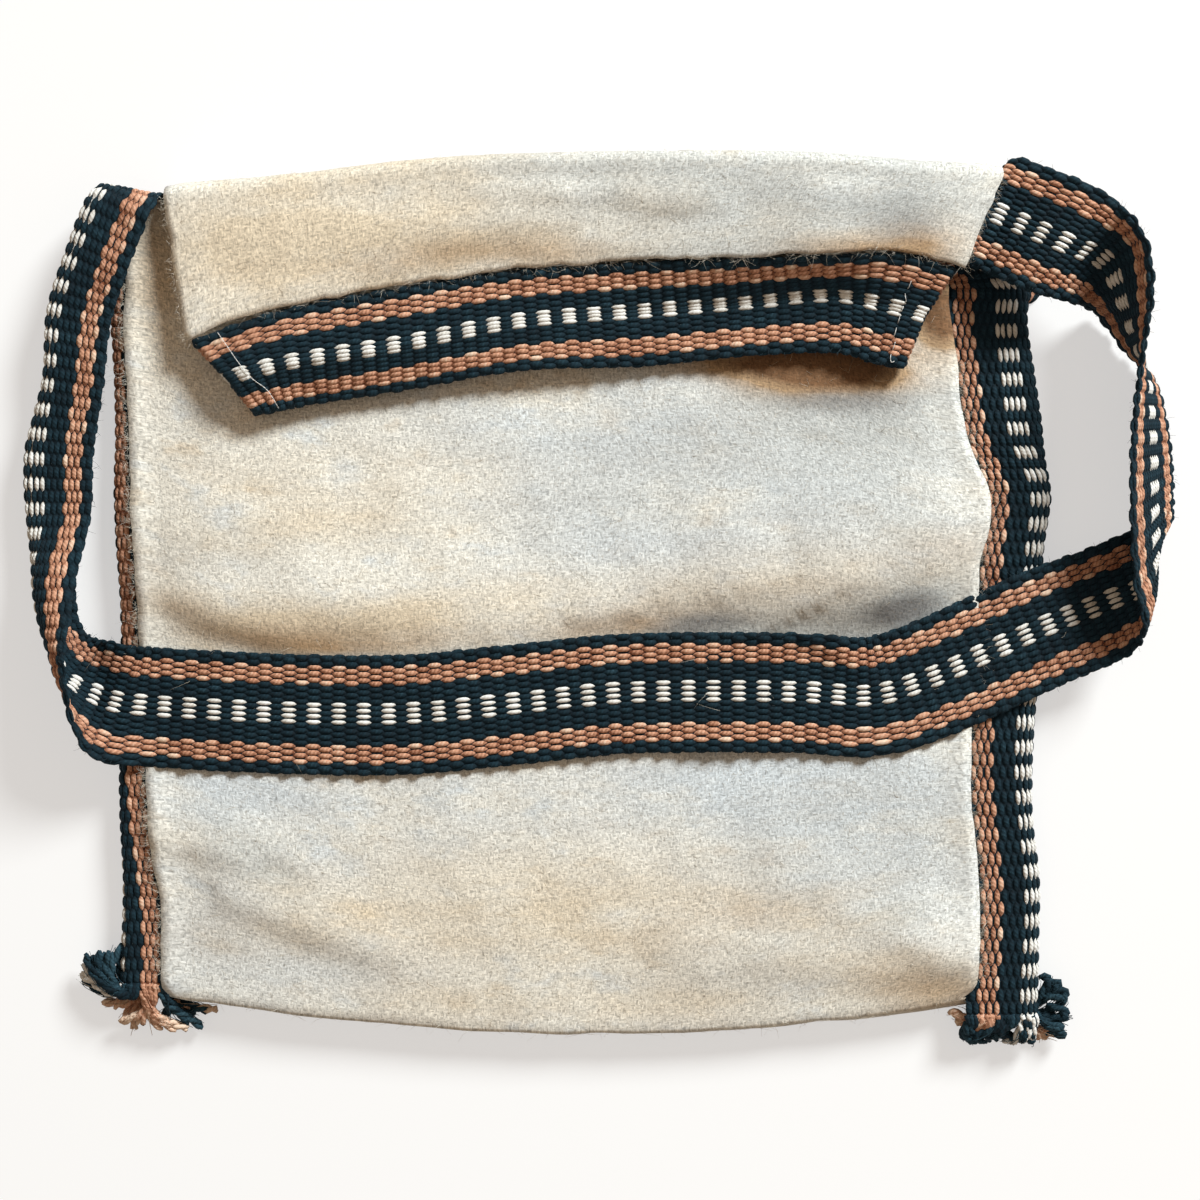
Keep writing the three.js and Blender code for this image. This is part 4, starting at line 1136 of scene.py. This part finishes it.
def cloth_patches_and_shade(points, ends, kind):
    """The strength of one kind of colour patch on every point of the cloth; some patches are painted shade.
    """
    parts = np.split(points, [(ends[0] + ends[1]) // 2, (ends[2] + ends[3]) // 2])
    panels = (FRONT_PATCHES_AND_SHADE, BACK_STAINS, FLAP_PATCHES_AND_SHADE)
    return np.concatenate([spot_strength(part, spots[kind]) for part, spots in zip(parts, panels)])


class Cloth:
    """The wool's middle surface, its outer normals and its run in millimetres."""

    def __init__(self):
        self.u = np.linspace(0, 1, CLOTH_COLUMNS + 1)
        self.points, self.ends = cloth_points(self.u)
        self.points[..., 2] += self.waves()
        self.points[..., 0] += self.ragged_edges()
        self.points[..., 1] += self.ragged_hem()
        self.outer = unit(np.cross(np.gradient(self.points, axis=0), np.gradient(self.points, axis=1)))
        self.run = arc_length(self.points[:, CLOTH_COLUMNS // 2])

    def waves(self):
        """Slack that shows on the front and the flap as very low waves."""
        rows, columns, _ = self.points.shape
        waves = lumpy_noise(rows, columns, WAVE_STEP, WAVE_FINE, draws("waves"))
        row = np.arange(rows)
        front = 1 - smooth_step(row, self.ends[0] - FRONT_FADE_ROWS, self.ends[0])
        flap = (smooth_step(row, self.ends[3], self.ends[3] + FLAP_FADE_ROWS)
                * (1 - smooth_step(row, rows - FLAP_FADE_ROWS, rows)))
        return WAVE * waves * np.maximum(front, flap)[:, None]

    def ragged_edges(self):
        """Both side edges wander a little."""
        shift = lumpy_noise(len(self.points), 2, EDGE_WANDER_STEP, EDGE_WANDER_FINE, draws("edges"))
        near = 1 - smooth_step(PANEL_WIDTH * np.minimum(self.u, 1 - self.u), 0, EDGE_WANDER_REACH)
        return EDGE_WANDER * np.where(self.u < 0.5, shift[:, :1], shift[:, 1:]) * near

    def ragged_hem(self):
        """The flap's lower edge wanders where the trim is sewn on, and so does the bottom fold."""
        rng = draws("hem")
        rows, columns, _ = self.points.shape
        row = np.arange(rows)[:, None]
        hem = smooth_step(row, rows - HEM_WANDER_ROWS, rows - 1)
        from_fold = np.abs(row - (self.ends[0] + self.ends[1]) / 2)
        fold = 1 - smooth_step(from_fold, 0, BOTTOM_WANDER_ROWS)
        return (HEM_WANDER * soft_noise(1, columns, HEM_WANDER_STEP, rng) * hem
                + BOTTOM_WANDER * soft_noise(1, columns, BOTTOM_WANDER_STEP, rng) * fold)


def grid_solid(name, points, normals, half, uv_points, tint, uv_name):
    """A closed sheet from a grid of points, its normals and its half thickness at each point."""
    rows, columns, _ = points.shape
    below = rows * columns
    offset = normals * half[..., None]
    index = np.arange(below).reshape(rows, columns)
    top = np.stack([index[:-1, :-1], index[1:, :-1], index[1:, 1:], index[:-1, 1:]], axis=-1).reshape(-1, 4)
    rim = np.concatenate([index[0, :-1], index[:-1, -1], index[-1, :0:-1], index[:0:-1, 0]])
    ahead = np.roll(rim, -1)
    edge = np.stack([rim, ahead, ahead + below, rim + below], axis=-1)
    faces = np.concatenate([top, (top + below)[:, ::-1], edge])
    uv = np.concatenate([uv_points.reshape(-1, 2)] * 2)[faces].reshape(-1, 2)
    tints = {key: np.concatenate([values.ravel()] * 2) for key, values in tint.items()}
    both = np.concatenate([points + offset, points - offset]).reshape(-1, 3)
    return make_object(name, both, [faces], uv, tints, uv_name)


def make_wool(cloth):
    rows, columns, _ = cloth.points.shape
    edge_rows = np.minimum(np.arange(rows), np.arange(rows)[::-1])[:, None]
    edge_columns = np.minimum(np.arange(columns), np.arange(columns)[::-1])[None, :]
    inside = smooth_step(np.minimum(edge_rows, edge_columns), 0, NAP_RIM_CELLS)
    lumps = lumpy_noise(rows, columns, NAP_LUMP_STEP, NAP_LUMP_FINE, draws("nap_lumps"))
    half = CLOTH_THICKNESS / 2 * lerp(RIM_THICKNESS, 1, inside) + NAP_LUMP * lumps * inside
    middle = cloth.points.copy()
    middle[..., 2] = np.maximum(middle[..., 2], half)
    uv = np.stack(np.broadcast_arrays(cloth.u[None, :] * PANEL_WIDTH, cloth.run[:, None]), axis=-1)
    tint = {kind: cloth_patches_and_shade(cloth.points, cloth.ends, kind) for kind in FRONT_PATCHES_AND_SHADE}
    wool = dress(grid_solid("bag_wool", middle, cloth.outer, half, uv, tint, "Cloth"), WOOL)
    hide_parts("bag_cloth")
    return wool


# Warp yarns of a band
CRIMP = 0.52
FLOAT_FLATNESS = 1.5
FLOAT_THICKNESS = 1.15
CROSSING_WIDTH = 0.64
CROSSING_REACH = 0.75
CROSSING_THICKNESS = 0.85
YARN_SIDES = 6
BORDER_BULK = 1.1
UNEVEN_HEIGHT = 0.08
UNEVEN_WIDTH = 0.05
SIDE_DRIFT = 0.09
CROSSING_PAINTED_SHADE = 0.3
# Yarns by colour: (tint, how far it varies from float to float, width in spacings)
YARNS = {"navy": (0.42, 0.07, 1.9), "terracotta": (0.45, 0.07, 1.84), "cream": (0.64, 0.16, 1.84),
         "white": (0.6, 0.07, 1.68)}


def warp_yarns(name, band, ends, material, seed):
    """The chosen warp ends of a band, each going over one pick and under the next."""
    rng = np.random.default_rng(seed)
    ends = np.array(ends)
    picks = band.run / band.length * band.picks
    float_index = np.floor(picks[None, :] + 0.5).astype(int) * np.ones((len(ends), 1), int)
    uneven = rng.normal(0, 1, (4, len(ends), band.picks + 2))
    wide, high, sideways, shade = [np.take_along_axis(values, float_index, axis=1) for values in uneven]
    base, spread, cover = np.array([YARNS[END_COLOURS[end]] for end in ends]).T[..., None]
    wave = np.cos(math.pi * (picks[None, :] + ends[:, None]))
    top = np.abs(wave)
    border = np.minimum(ends, END_COUNT - 1 - ends) < BORDER_ENDS
    bulk = np.where(border, BORDER_BULK, 1.0)[:, None]
    crimp = CRIMP * np.tanh(FLOAT_FLATNESS * wave) / math.tanh(FLOAT_FLATNESS)
    height = crimp * (1 + UNEVEN_HEIGHT * high) * bulk
    full = cover * END_SPACINGS[ends][:, None] * (1 + UNEVEN_WIDTH * wide) * bulk
    half_width = full / 2 * lerp(CROSSING_WIDTH, 1, smooth_step(top, 0, CROSSING_REACH))
    half_height = FLOAT_THICKNESS / 2 * lerp(CROSSING_THICKNESS, 1, top) * bulk
    drift = SIDE_DRIFT * sideways * top
    points, normal, across = [values[:, ends].transpose(1, 0, 2) for values in
                              (band.points, band.normal, band.across)]
    centres = points + normal * height[..., None] + across * drift[..., None]
    rings = tube_rings(centres, normal, across, half_height, half_width, YARN_SIDES)
    # Each float is painted darker where its yarn dips under a pick: painted shade.
    tint = np.clip(base + spread * shade - CROSSING_PAINTED_SHADE * (1 - top), 0, 1)
    return dress(make_tubes(name, rings, band.run, tint), material)


def ends_of(*colours):
    return [end for end, colour in enumerate(END_COLOURS) if colour in colours]


CORE_HALF = 0.3
CORE_COLUMN_STEP = 3
CORE_ROW_STEP = RINGS_A_PICK // 2
CORE_TINT = 0.2


def make_core(name, band, node_name):
    """The band's hidden weft, a thin sheet between the warp's two faces."""
    columns = np.unique(np.append(np.arange(0, END_COUNT, CORE_COLUMN_STEP), END_COUNT - 1))
    points, normals = [values[::CORE_ROW_STEP][:, columns] for values in (band.points, band.normal)]
    half = np.full(points.shape[:2], CORE_HALF)
    uv = np.stack(np.broadcast_arrays(END_PLACES[columns][None, :] * BAND_WIDTH,
                                      band.run[::CORE_ROW_STEP][:, None]), axis=-1)
    tint = {"tint": np.full(points.shape[:2], CORE_TINT)}
    core = dress(grid_solid(name, points, -normals, half, uv, tint, "Thread"), NAVY)
    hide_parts(node_name)
    return core


def make_band(name, band, node_name, navy_groups):
    seed = SEEDS[name]
    core = make_core(f"{name}_core", band, node_name)
    yarns = [
        warp_yarns(f"{name}_terracotta", band, ends_of("terracotta", "cream"), TERRACOTTA, seed),
        warp_yarns(f"{name}_white", band, ends_of("white"), WHITE, seed + 1),
    ]
    navy = ends_of("navy")
    for number, group in enumerate(np.array_split(navy, navy_groups), 1):
        yarns.append(warp_yarns(f"{name}_navy_{number}", band, group, NAVY, seed + 1 + number))
    return core, yarns


cloth = Cloth()
strap = Band(strap_sections)
trim = Band(trim_sections)
bag_wool = make_wool(cloth)
strap_core, strap_yarns = make_band("strap", strap, "strap_band", 3)
trim_core, trim_yarns = make_band("trim", trim, "flap_trim_band", 1)


# Frayed ends of the band at the two bottom corners
# A tuft is (first end, last end, place it swings by, first yarn's tip, last yarn's tip, height of the tips)
LEFT_TUFTS = [
    (0, 2, (-150, -146, 7), (-155, -149), (-142.5, -152), 5.0),
    (3, 8, (-160, -149, 8), (-170, -150), (-148, -154), 5.5),
    (9, 14, (-182, -138, 12), (-183, -128), (-170, -124.5), 8.0),
    (15, 18, (-180, -140, 9), (-184, -130), (-184, -134), 6.0),
    (19, 22, (-176, -142, 6), (-184, -135), (-181, -139), 4.0),
    (23, 28, (-173, -138, 6), (-170.5, -125), (-177, -138), 5.0),
    (29, 33, (-172, -143, 4), (-182, -139), (-166, -153), 2.5),
    (34, 34, (-150, -146, 4), (-135.5, -148), (-135.5, -148), 3.0),
    (35, 37, (-152, -146, 4), (-148, -150), (-142, -147), 2.5),
]
RIGHT_TUFTS = [
    (0, 2, (126, -150, 10), (131, -156), (137, -157.5), 4.5),
    (3, 8, (128, -149, 8), (125, -147), (134, -153.5), 4.5),
    (9, 14, (130, -153, 11), (133, -157), (148, -156), 5.0),
    (15, 22, (151, -158, 10), (146, -157), (156, -157), 5.0),
    (23, 24, (180, -158, 8), (157.5, -154.5), (159, -151), 5.0),
    (25, 26, (186, -149, 9), (159.5, -148), (160, -145), 5.5),
    (27, 28, (183, -138, 9), (160, -142), (159.5, -138.5), 5.5),
    (29, 34, (164, -153, 4), (154, -157), (163, -156), 2.5),
    (35, 37, (172, -130, 7), (161, -138), (157.5, -134.5), 5.0),
]
FRINGE_RINGS = 16
FRINGE_STRAND = 1.05
FRINGE_PLY = 0.75
FRINGE_TWIST = 9.0
FRINGE_FLARE = 0.1
FLARE_FROM = 0.6
FRINGE_JITTER = 1.0
TIP_JITTER = vec(1, 1, 0.6)
FRINGE_ROOT = 2.0
FRINGE_BEND = 0.35
FRINGE_FALL = 0.25
STRAND_SIDES = 5
STRAND_TIP = 0.7
TAPER_FROM = 0.88
# Off the vertical, so that a yarn that stands up still has a side
NEARLY_UP = UP + 0.01 * vec(1, 1, 0)
STRANDS = 2
WISPS = 5
WISP_RINGS = 9
WISP_SIDES = 3
WISP_RADIUS = 0.28
WISP_TIP = 0.35
WISP_SPREAD = 0.9
WISP_OPENING = (0.5, 1.3)
WISP_WAVE = 0.7
WISP_TURN = (3, 9)
# Yarns of the fringe: (piece, warp colours, material, how much paler the tips are)
FRINGE_YARNS = [("navy", ("navy",), NAVY, 0.15), ("terracotta", ("terracotta", "cream"), TERRACOTTA, 0.5),
                ("white", ("white",), WHITE, 0.15)]


def bezier(points, shares):
    a, b, c, d = [point[:, None, :] for point in points]
    t = shares[None, :, None]
    return a * (1 - t) ** 3 + 3 * b * t * (1 - t) ** 2 + 3 * c * t**2 * (1 - t) + d * t**3


def fringe_lines(band, row, inward_row, tufts, rng):
    """The middle lines of the frayed yarns at one end of the band, one for each warp end."""
    roots = band.points[row]
    leave = unit(roots - band.points[inward_row])
    tips = np.zeros_like(roots)
    swing = np.zeros_like(roots)
    for first, last, by, start, end, height in tufts:
        share = np.linspace(0, 1, last - first + 1)[:, None]
        tips[first:last + 1, :2] = lerp(np.array(start), np.array(end), share)
        tips[first:last + 1, 2] = height
        swing[first:last + 1] = by
    tips += rng.normal(0, FRINGE_JITTER, tips.shape) * TIP_JITTER
    tips[:, 2] = np.maximum(tips[:, 2], FRINGE_STRAND + FRINGE_PLY)
    reach = np.linalg.norm(tips - roots, axis=1, keepdims=True)
    start = roots - leave * FRINGE_ROOT
    bend = roots + leave * reach * FRINGE_BEND
    fall = lerp(swing, tips, FRINGE_FALL) + rng.normal(0, FRINGE_JITTER, tips.shape)
    return bezier((start, bend, fall, tips), np.linspace(0, 1, FRINGE_RINGS))


def fringe_strands(lines, rng):
    """Each yarn as plied strands that open out towards its tip."""
    tangent = unit(np.gradient(lines, axis=1))
    side = unit(np.cross(tangent, NEARLY_UP))
    over = np.cross(side, tangent)
    run = arc_length(lines)
    share = run / run[:, -1:]
    spread = FRINGE_PLY + FRINGE_FLARE * smooth_step(share, FLARE_FROM, 1)
    first = rng.uniform(0, 2 * math.pi, (len(lines), 1))
    strands = []
    for number in range(STRANDS):
        angle = first + 2 * math.pi * (run / FRINGE_TWIST + number / STRANDS)
        offset = np.cos(angle)[..., None] * side + np.sin(angle)[..., None] * over
        strands.append(lines + offset * spread[..., None])
    strands = np.concatenate(strands)
    taper = smooth_step(np.concatenate([share] * STRANDS), TAPER_FROM, 1)
    radii = FRINGE_STRAND * lerp(1, STRAND_TIP, taper)
    strands[..., 2] = np.maximum(strands[..., 2], radii)
    return strands, radii


def fringe_wisps(lines, rng):
    """Thin unspun fibres that wander round each yarn."""
    pick = np.linspace(0, FRINGE_RINGS - 2, WISP_RINGS).round().astype(int)
    guides = np.repeat(lines[:, pick], WISPS, axis=0)
    share = np.linspace(0, 1, WISP_RINGS)[None, :, None]
    count = len(guides)
    apart = rng.normal(0, WISP_SPREAD, (count, 1, 3)) * lerp(*WISP_OPENING, share)
    turn = rng.uniform(0, 2 * math.pi, (count, 1, 3)) + share * rng.uniform(*WISP_TURN, (count, 1, 3))
    wisps = guides + apart + WISP_WAVE * np.sin(turn) * share
    radii = WISP_RADIUS * lerp(1, WISP_TIP, share[..., 0]) * np.ones((count, 1))
    wisps[..., 2] = np.maximum(wisps[..., 2], radii)
    return wisps, radii


FADE_FROM = 0.3
# Shapes of the fringe: (piece, what draws it, sides, how much paler than the warp, how far that varies)
FRINGE_SHAPES = [("fringe", fringe_strands, STRAND_SIDES, 0, 0.15),
                 ("wisps", fringe_wisps, WISP_SIDES, 0.12, 0.16)]


def make_fringe():
    rng = draws("fringe")
    left = fringe_lines(strap, 0, RINGS_A_PICK, LEFT_TUFTS, rng)
    right = fringe_lines(strap, -1, -1 - RINGS_A_PICK, RIGHT_TUFTS, rng)
    made = []
    for name, colours, material, fade in FRINGE_YARNS:
        chosen = ends_of(*colours)
        lines = np.concatenate([left[chosen], right[chosen]])
        for piece, shape, sides, paler, vary in FRINGE_SHAPES:
            tubes, radii = shape(lines, rng)
            base = YARNS[colours[0]][0] + rng.normal(paler, vary, (len(tubes), 1))
            share = np.linspace(0, 1, tubes.shape[1])
            tint = np.clip(base + fade * smooth_step(share, FADE_FROM, 1), 0, 1)
            tubes = free_tubes(f"{piece}_{name}", tubes, radii, tint, sides)
            made.append(dress(tubes, material))
    return made


# Loose fibres
HAIR_RINGS = 3
HAIR_SIDES = 3
HAIR_TIP = 0.4
# A fibre's tint and how far it varies
HAIR_TINT = (0.6, 0.25)


def make_hairs(name, roots, directions, lengths, radius, curl, material, rng):
    """Thin curved fibres from their roots, each bending away at random."""
    bend = rng.normal(0, curl, (len(roots), 3))
    share = np.linspace(0, 1, HAIR_RINGS)[None, :, None]
    lines = roots[:, None, :] + lengths[:, None, None] * (
        unit(directions)[:, None, :] * share + bend[:, None, :] * share**2)
    lines[..., 2] = np.maximum(lines[..., 2], radius)
    radii = radius * lerp(1, HAIR_TIP, share[..., 0]) * np.ones((len(roots), 1))
    tint = np.clip(rng.normal(*HAIR_TINT, (len(roots), 1)), 0, 1) * np.ones((1, HAIR_RINGS))
    return dress(free_tubes(name, lines, radii, tint, HAIR_SIDES), material)


# Counts, lengths from shortest to longest, how far the fibres bend, and how their roots and ways stray
NAP_COUNT = 3600
NAP_LENGTH = (2, 6)
NAP_RADIUS = 0.05
NAP_CURL = 0.25
NAP_MARGIN = 2
NAP_RISE = 0.25
EDGE_JITTER = vec(1, 1, 0.2)
FUZZ_CURL = 0.35
FLAP_FUZZ_COUNT = 550
FLAP_FUZZ_SHORTEST = 0.8
FLAP_FUZZ_MEAN = 1.8
FLAP_FUZZ_LONGEST = 6
FLAP_FUZZ_JITTER = 0.8
FLAP_FUZZ_WAY = vec(0, -0.7, 0.1)
FLAP_FUZZ_SPREAD = vec(1.8, 0.9, 0.5)
FLAP_SIDE_COUNT = 110
FLAP_SIDE_LENGTH = (1, 3)
FLAP_SIDE_STRAY = 0.7
SIDE_FUZZ_COUNT = 800
SIDE_FUZZ_LENGTH = (1, 5)
SIDE_FUZZ_ROWS = (0.12, 0.98)
SIDE_FUZZ_STRAY = 0.5
SIDE_FUZZ_JITTER = 0.6
SIDE_FUZZ_SPREAD = vec(0.6, 1.6, 0.6)
EDGE_FUZZ_COUNT = 1300
TRIM_FUZZ_COUNT = 420
BAND_FUZZ_LENGTH = (0.7, 2.4)
BAND_FUZZ_RADIUS = 0.07
BAND_FUZZ_OUT = 0.6
BAND_FUZZ_UP = 0.8
BAND_FUZZ_RISE = 0.6
BAND_FUZZ_STRAY = 0.5
STRAY_COUNT = 28
STRAY_LENGTH = (3, 10)
STRAY_ALONG = (0.05, 0.95)
STRAY_ACROSS = (0.1, 0.9)
STRAY_LIFT = 1.4
STRAY_SPREAD = vec(1, 1, 0.15)


def wool_surface(cloth, rows, columns):
    """Points on the wool's outer face at rows and columns of its grid, with their normals."""
    normals = cloth.outer[rows, columns]
    return cloth.points[rows, columns] + normals * CLOTH_THICKNESS / 2, normals


def make_nap(cloth):
    """Fibres that lie on the wool, and longer ones along its cut edges."""
    rng = draws("wool_nap")
    last_row = len(cloth.points) - 1

    def edge_roots(rows, columns, jitter):
        roots, normals = wool_surface(cloth, rows, columns)
        roots += rng.normal(0, jitter, roots.shape) * EDGE_JITTER - normals * CLOTH_THICKNESS / 3
        return roots

    rows = rng.integers(NAP_MARGIN, last_row + 1 - NAP_MARGIN, NAP_COUNT)
    columns = rng.integers(NAP_MARGIN, CLOTH_COLUMNS + 1 - NAP_MARGIN, NAP_COUNT)
    roots, normals = wool_surface(cloth, rows, columns)
    flat = rng.normal(0, 1, roots.shape)
    flat -= normals * np.sum(flat * normals, axis=1, keepdims=True)
    lie = unit(flat) + normals * rng.uniform(0, NAP_RISE, (NAP_COUNT, 1))
    nap = [(roots, lie, rng.uniform(*NAP_LENGTH, NAP_COUNT))]

    columns = rng.integers(0, CLOTH_COLUMNS + 1, FLAP_FUZZ_COUNT)
    roots = edge_roots(np.full(FLAP_FUZZ_COUNT, last_row), columns, FLAP_FUZZ_JITTER)
    over = FLAP_FUZZ_WAY + rng.normal(0, 1.0, roots.shape) * FLAP_FUZZ_SPREAD
    longer = np.minimum(rng.exponential(FLAP_FUZZ_MEAN, FLAP_FUZZ_COUNT), FLAP_FUZZ_LONGEST)
    nap.append((roots, over, FLAP_FUZZ_SHORTEST + longer))

    # Side edges of flap and front: (first row, row after the last, fibres, how far they stray, length)
    front_first, front_last = [int(cloth.ends[0] * share) for share in SIDE_FUZZ_ROWS]
    stretches = [(cloth.ends[3], last_row + 1, FLAP_SIDE_COUNT, FLAP_SIDE_STRAY, FLAP_SIDE_LENGTH),
                 (front_first, front_last, SIDE_FUZZ_COUNT, SIDE_FUZZ_STRAY, SIDE_FUZZ_LENGTH)]
    for side, column in ((-1, 0), (1, CLOTH_COLUMNS)):
        for first, last, count, stray, length in stretches:
            roots = edge_roots(rng.integers(first, last, count), np.full(count, column), SIDE_FUZZ_JITTER)
            out = vec(side, 0, 0) + rng.normal(0, stray, roots.shape) * SIDE_FUZZ_SPREAD
            nap.append((roots, out, rng.uniform(*length, count)))

    roots, directions, lengths = [np.concatenate(parts) for parts in zip(*nap)]
    return make_hairs("wool_nap", roots, directions, lengths, NAP_RADIUS, NAP_CURL, PALE_HAIR,
                      rng)


def make_band_fuzz(name, band, count):
    """Short dark fibres along both edges of a band."""
    rng = draws(name)
    rows = rng.integers(0, len(band.run), count)
    sides = rng.integers(0, 2, count)
    ends = np.where(sides == 0, rng.integers(0, 2, count), END_COUNT - 1 - rng.integers(0, 2, count))
    out = band.across[rows, ends] * np.where(sides == 0, -1, 1)[:, None]
    up = band.normal[rows, ends] * rng.choice([-1, 1], (count, 1))
    roots = band.points[rows, ends] + out * BAND_FUZZ_OUT + up * BAND_FUZZ_UP
    directions = out + BAND_FUZZ_RISE * up + rng.normal(0, BAND_FUZZ_STRAY, roots.shape)
    lengths = rng.uniform(*BAND_FUZZ_LENGTH, count)
    return make_hairs(name, roots, directions, lengths, BAND_FUZZ_RADIUS, FUZZ_CURL, DARK_HAIR, rng)


def make_strays(band):
    """A few long pale hairs that cling to the strap."""
    rng = draws("strap_strays")
    along = rng.uniform(*STRAY_ALONG, STRAY_COUNT)
    roots = band.place(along, rng.uniform(*STRAY_ACROSS, STRAY_COUNT), STRAY_LIFT)
    directions = rng.normal(0, 1, roots.shape) * STRAY_SPREAD
    lengths = rng.uniform(*STRAY_LENGTH, STRAY_COUNT)
    return make_hairs("strap_strays", roots, directions, lengths, NAP_RADIUS, FUZZ_CURL, PALE_HAIR,
                      rng)


# White sewing thread on the flap trim: (share along, share across, height above the band's middle)
# One stitch of it: (share of the stitch, height)
STITCH = ((0.0, 0.2), (0.12, 1.35), (0.58, 1.35), (0.7, 0.2))


def running_stitch(start, end, dashes):
    """A route that lies on top for each dash and dips into the band between two of them."""
    route = []
    for dash in range(dashes):
        for part, lift in STITCH:
            share = (dash + part) / dashes
            route.append((lerp(start[0], end[0], share), lerp(start[1], end[1], share), lift))
    return route


RIGHT_STITCHES = running_stitch((0.909, 0.2), (0.916, 0.92), 6)
RIGHT_STITCHES += [(0.917, 0.95, 1.5), (0.9205, 0.985, 1.6), (0.925, 0.97, 1.5)]
LEFT_THREAD = [(0.0833, 0.02, 1.4), (0.0833, 0.17, 1.6), (0.0833, 0.36, 1.5), (0.0873, 0.56, 1.8),
               (0.0992, 0.75, 1.5), (0.1032, 0.93, 1.7), (0.105, 1, 0.8)]
THREAD_RADIUS = 0.12
THREAD_STEPS = 5
THREAD_SIDES = 6
THREAD_TINT = 0.8


def make_thread(name, band, route):
    points = [band.place(along, across, lift)[None, :] for along, across, lift in route]
    line = loft(points, THREAD_STEPS)[:, 0, :][None]
    radii = np.full(line.shape[:2], THREAD_RADIUS)
    tint = np.full(line.shape[:2], THREAD_TINT)
    return dress(free_tubes(name, line, radii, tint, THREAD_SIDES), WHITE)


fringe = make_fringe()
make_nap(cloth)
make_band_fuzz("strap_fuzz", strap, EDGE_FUZZ_COUNT)
make_band_fuzz("trim_fuzz", trim, TRIM_FUZZ_COUNT)
make_strays(strap)
make_thread("right_stitches", trim, RIGHT_STITCHES)
make_thread("left_thread", trim, LEFT_THREAD)


# Stage, light and camera
FLOOR_SIZE = 8.0
FLOOR_DROP = 0.0003
FLOOR_COLOUR = (0.47, 0.465, 0.46, 1.0)
FLOOR_GLOW = 0.55


def seen_rays(owner):
    """1 for rays from the camera and those that gloss or glass sends on, 0 for the rest."""
    path = node(owner, "LightPath").outputs
    direct = math_node(owner, "MAXIMUM", path["Is Camera Ray"], path["Is Glossy Ray"])
    return math_node(owner, "MAXIMUM", direct, path["Is Transmission Ray"])


def make_floor():
    half = FLOOR_SIZE / 2 / MM
    z = -FLOOR_DROP / MM
    corners = np.array([[-half, -half, z], [half, -half, z], [half, half, z], [-half, half, z]])
    floor = make_object("floor", corners, [np.array([[0, 1, 2, 3]])])
    made = new_material("pale_floor")
    set_inputs(made, shader_of(made), {
        "Base Color": FLOOR_COLOUR, "Roughness": 1.0, "Specular IOR Level": 0.0,
        "Emission Color": (1.0, 1.0, 1.0, 1.0),
        "Emission Strength": math_node(made, "MULTIPLY", seen_rays(made), FLOOR_GLOW),
    })
    floor.data.materials.append(made)


AMBIENT = (1.0, 0.78, 0.58, 1.0)
AMBIENT_STRENGTH = 0.29


def make_world():
    world = bpy.data.worlds.new("studio")
    bpy.context.scene.world = world
    world.use_nodes = True
    ambient = world.node_tree.nodes["Background"]
    set_inputs(world, ambient, {"Color": AMBIENT, "Strength": AMBIENT_STRENGTH})
    backdrop = node(world, "Background")
    blend = node(world, "MixShader", {0: seen_rays(world), 1: ambient.outputs[0], 2: backdrop.outputs[0]})
    set_inputs(world, world.node_tree.nodes["World Output"], {"Surface": blend.outputs[0]})


KEY_PLACE = (2.09, 2.68, 2.1)
KEY_SIZE = 1.3
KEY_POWER = 228.0
KEY_COLOUR = (0.93, 0.985, 1.0)


def make_key_light():
    lamp = bpy.data.lights.new("key", "AREA")
    lamp.shape = "DISK"
    lamp.size = KEY_SIZE
    lamp.energy = KEY_POWER
    lamp.color = KEY_COLOUR
    key = bpy.data.objects.new("key", lamp)
    key.location = KEY_PLACE
    x, y, z = KEY_PLACE
    key.rotation_euler = (math.acos(z / math.hypot(x, y, z)), 0, math.atan2(x, -y))
    key.visible_camera = False
    bpy.context.scene.collection.objects.link(key)


CAMERA_HEIGHT = 0.8
VIEW_WIDTH = 0.432
SENSOR_WIDTH = 36.0


def make_camera():
    lens = bpy.data.cameras.new("camera")
    lens.sensor_width = SENSOR_WIDTH
    lens.lens = SENSOR_WIDTH * CAMERA_HEIGHT / VIEW_WIDTH
    camera = bpy.data.objects.new("camera", lens)
    camera.location = (0, 0, CAMERA_HEIGHT)
    bpy.context.scene.collection.objects.link(camera)
    bpy.context.scene.camera = camera


make_floor()
make_world()
make_key_light()
make_camera()
bpy.context.scene.view_settings.view_transform = "Standard"
